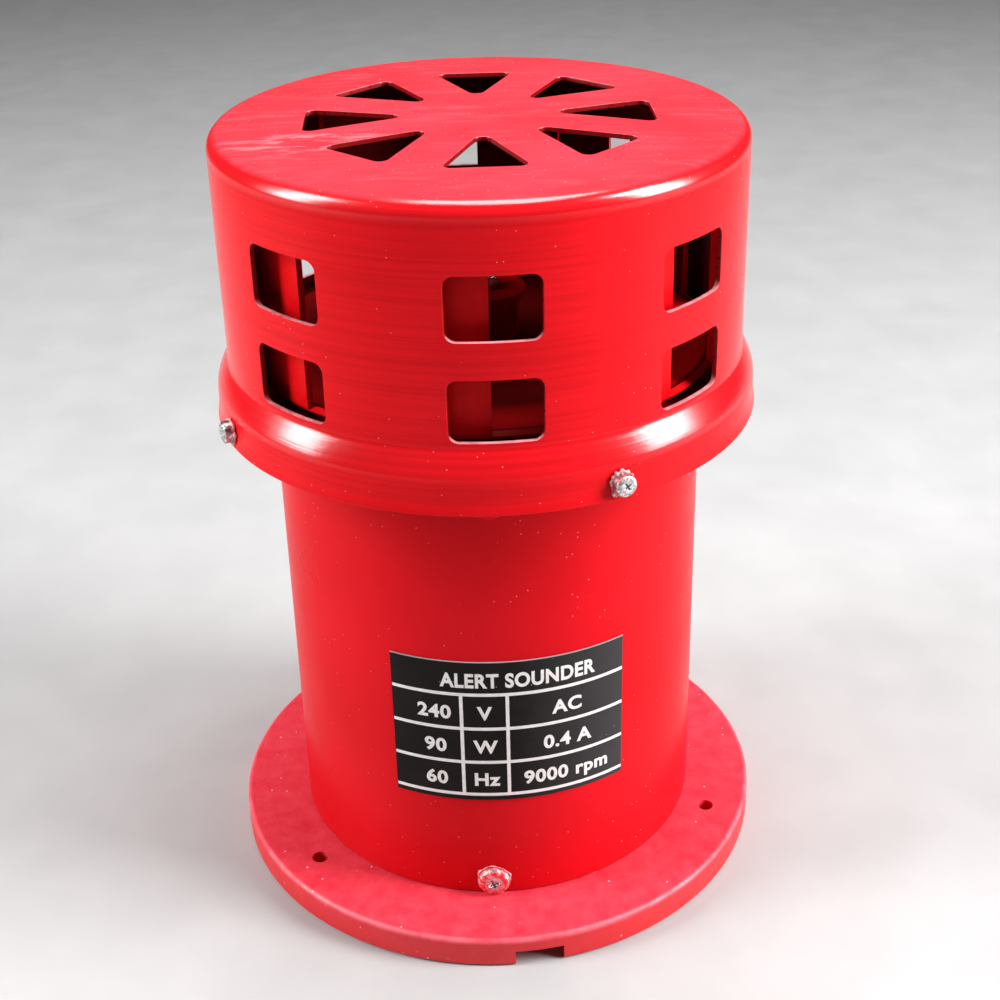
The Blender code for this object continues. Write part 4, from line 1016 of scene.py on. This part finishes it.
def make_burr(name, place, radius, width, height, seed):
    """A ragged collar of chipped paint pushed up round a screw head."""
    draw = random.Random(seed)
    columns = 56
    sections = 5
    points = []
    reach = [draw.uniform(0.1, 1.0) ** 1.6 for _ in range(columns)]
    for i in range(columns):
        share = 0.5 * reach[i] + 0.25 * (reach[i - 1] + reach[(i + 1) % columns])
        lift = height * (0.35 + draw.uniform(0.0, 0.9) * share)
        for j in range(sections):
            angle = math.pi * j / (sections - 1)
            r = radius + width * share * (0.5 - 0.5 * math.cos(angle))
            z = lift * math.sin(angle) * draw.uniform(0.8, 1.15) - 0.06
            points.append((*polar(r, i * 360.0 / columns), z))
    faces = []
    for i in range(columns):
        k = (i + 1) % columns
        for j in range(sections):
            m = (j + 1) % sections
            faces.append((i * sections + j, k * sections + j, k * sections + m, i * sections + m))
    finished(name, points, faces, CHIPS, "housing", "red_paint", (), place)


def make_screws():
    """The screws on the outside, each turned differently, with burrs round the chipped ones."""
    for i, azimuth in enumerate(BASE_SCREW_AZ):
        place = turned_by(outwards(TUBE_R + SCREW_GAP, azimuth, BASE_SCREW_Z), 21.0 + 50.0 * i)
        make_pan_screw(f"base_fixing_{i + 1}", f"base_screw_{i + 1}", place, CHIPPED)
        make_burr(f"base_fixing_burr_{i + 1}", outwards(TUBE_R, azimuth, BASE_SCREW_Z),
                  TAPPING_HEAD[0] - 0.2, width=0.7, height=0.35, seed=11 + i)
    for i, azimuth in enumerate(PLATE_SCREW_AZ):
        place = turned_by(outwards(TUBE_R + SCREW_GAP, azimuth, PLATE_SCREW_Z), 8.0 + 64.0 * i)
        make_pan_screw(f"plate_fixing_{i + 1}", f"plate_screw_{i + 1}", place, RED_PAINT)
    for i, azimuth in enumerate(CAP_SCREW_AZ):
        place = turned_by(outwards(CAP_SCREW_SEAT_R, azimuth, CAP_SCREW_Z), 33.0 + 71.0 * i)
        make_cap_screw(f"cap_fixing_{i + 1}", f"cap_screw_{i + 1}", place)
        make_burr(f"cap_fixing_burr_{i + 1}", outwards(CAP_SCREW_SEAT_R - 0.35, azimuth, CAP_SCREW_Z),
                  CAP_SCREW_HEAD[0] - 0.1, width=1.1, height=0.8, seed=31 + i)


# ---------------------------------------------------------------- label

def curved_slab(az_low, az_high, z_low, z_high, r_low, r_high, steps):
    """Points and faces of a thin slab bent round the tube."""
    points = []
    for i in range(steps + 1):
        azimuth = az_low + (az_high - az_low) * i / steps
        for radius, height in ((r_high, z_high), (r_high, z_low), (r_low, z_low), (r_low, z_high)):
            points.append((*polar(radius, azimuth), height))
    ends = [(3, 2, 1, 0), tuple(range(4 * steps, 4 * steps + 4))]
    return points, ends + ring_faces(steps + 1, 4)


def word_shape(text, spacing, weight):
    """A word's bold letters as a thin solid, in units of their size, centred on its width."""
    curve = bpy.data.curves.new("word", "FONT")
    curve.body = text
    curve.align_x = "CENTER"
    curve.space_character = spacing
    curve.offset = weight
    curve.extrude = 0.5
    curve.resolution_u = 6
    word = bpy.data.objects.new("word", curve)
    bpy.context.scene.collection.objects.link(word)
    bpy.context.view_layer.update()
    mesh = bpy.data.meshes.new_from_object(word.evaluated_get(bpy.context.evaluated_depsgraph_get()))
    bpy.data.objects.remove(word)
    return mesh


def bent_word(text, cap_height, azimuth, baseline, radius, spacing, stretch, weight):
    """Points and faces of a word printed on a cylinder."""
    letter_size = cap_height / CAPITAL_SHARE
    shape = bmesh.new()
    shape.from_mesh(word_shape(text, spacing, weight))
    bmesh.ops.remove_doubles(shape, verts=shape.verts, dist=0.0005)
    for vertex in shape.verts:
        vertex.co.x *= letter_size * stretch
        vertex.co.y *= letter_size
        vertex.co.z = INK_T if vertex.co.z > 0.0 else 0.0
    low = min(v.co.x for v in shape.verts)
    high = max(v.co.x for v in shape.verts)
    cut = math.ceil(low)
    while cut < high:
        everything = shape.verts[:] + shape.edges[:] + shape.faces[:]
        bmesh.ops.bisect_plane(shape, geom=everything, dist=0.0001, plane_co=(cut, 0.0, 0.0),
                               plane_no=(1.0, 0.0, 0.0))
        cut += 1.0
    shape.verts.index_update()
    points = []
    for vertex in shape.verts:
        turned = azimuth + math.degrees(vertex.co.x / radius)
        points.append((*polar(radius + vertex.co.z, turned), baseline + vertex.co.y))
    faces = [[v.index for v in face.verts] for face in shape.faces]
    shape.free()
    return points, faces


def make_label():
    """The rating label: a film round the tube, with a title and a table of ratings printed on it."""
    film = finished("label_backing", *curved_slab(*LABEL_AZ, LABEL_LOW.z, LABEL_HIGH.z, LABEL_BACK_R,
                                                  LABEL_FRONT_R, LABEL_STEPS),
                    LABEL_FILM, "housing", "label", ("rating_label",))
    soften(film, 0.08, 1)

    half = LABEL_RULE_W / 2.0
    half_az = math.degrees(half / LABEL_FRONT_R)
    margin_az = 0.3
    ink_low, ink_high = LABEL_FRONT_R - INK_SUNK, LABEL_FRONT_R + INK_T
    ink = []
    for height in LABEL_RULE_Z:
        ink.append(curved_slab(LABEL_AZ[0] + margin_az, LABEL_AZ[1] - margin_az, height - half,
                               height + half, ink_low, ink_high, LABEL_STEPS))
    for azimuth in LABEL_RULE_AZ:
        ink.append(curved_slab(azimuth - half_az, azimuth + half_az, LABEL_RULE_Z[-1], LABEL_RULE_Z[0],
                               ink_low, ink_high + 0.005, 2))
    word_r = LABEL_FRONT_R - 0.01
    ink.append(bent_word("ALERT SOUNDER", 3.35, 6.0, 60.7, word_r, spacing=1.07, stretch=0.85,
                         weight=0.034))
    for cells, rule in zip(TABLE, LABEL_RULE_Z[1:]):
        for text, azimuth in zip(cells, CELL_AZ):
            ink.append(bent_word(text, 3.2, azimuth, rule + half + 2.0, word_r, spacing=1.08,
                                 stretch=1.02, weight=0.032))
    printing = finished("label_printing", *merged(ink), INK, "housing", "label")
    for face in printing.data.polygons:
        face.use_smooth = False


# ---------------------------------------------------------------- brush springs

def make_springs():
    """Fine wire springs behind the brushes."""
    turns, per_turn, sides = 6, 20, 8
    coil_r, wire_r = 2.2, 0.35
    for side_name, side in (("left", -1.0), ("right", 1.0)):
        low, high = box_mm(f"{side_name}_brush_spring")
        near, far = (high.x, low.x) if side < 0 else (low.x, high.x)
        middle_z = (low.z + high.z) / 2.0
        length = abs(far - near) - 2.0 * wire_r
        steps = turns * per_turn
        points = []
        for i in range(steps + 1):
            angle = 2.0 * math.pi * i / per_turn
            x = near + side * (wire_r + length * i / steps)
            outward = Vector((0.0, math.cos(angle), math.sin(angle)))
            for j in range(sides):
                turn = 2.0 * math.pi * j / sides
                spoke = outward * (coil_r + wire_r * math.cos(turn))
                points.append((x + wire_r * math.sin(turn), spoke.y, middle_z + spoke.z))
        ends = [tuple(range(sides)), tuple(range(steps * sides + sides - 1, steps * sides - 1, -1))]
        faces = ends + ring_faces(steps + 1, sides)
        coil = finished(f"{side_name}_spring_coil", points, faces, SLOT_MATERIALS["steel"], "housing",
                        "steel", (f"{side_name}_brush_spring",))
        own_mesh(coil)


# ---------------------------------------------------------------- stage and carried-over nodes

def make_floor():
    """A wide round floor under the siren."""
    mesh = bpy.data.meshes.new("floor")
    points, faces = lathe([(0.0, 0.0), (200.0, 0.0), (1500.0, 0.0), (6000.0, 0.0)], 96, closed=False)
    mesh.from_pydata([(x * MM, y * MM, z * MM) for x, y, z in points], [], faces)
    mesh.flip_normals()
    floor = bpy.data.objects.new("floor", mesh)
    bpy.context.scene.collection.objects.link(floor)
    floor.data.materials.append(floor_material())


def dress_nodes():
    """Give every CAD node the material of its slot in the record."""
    for part in frame["record"]["subparts"]:
        node = frame["nodes"][part["node"]]
        node.data.materials.clear()
        node.data.materials.append(SLOT_MATERIALS[part["material_slot"]])


make_base()
make_tube()
make_motor_plate()
make_cap()
make_drum()
make_hub_and_shaft()
make_screws()
make_label()
make_springs()
make_floor()
dress_nodes()
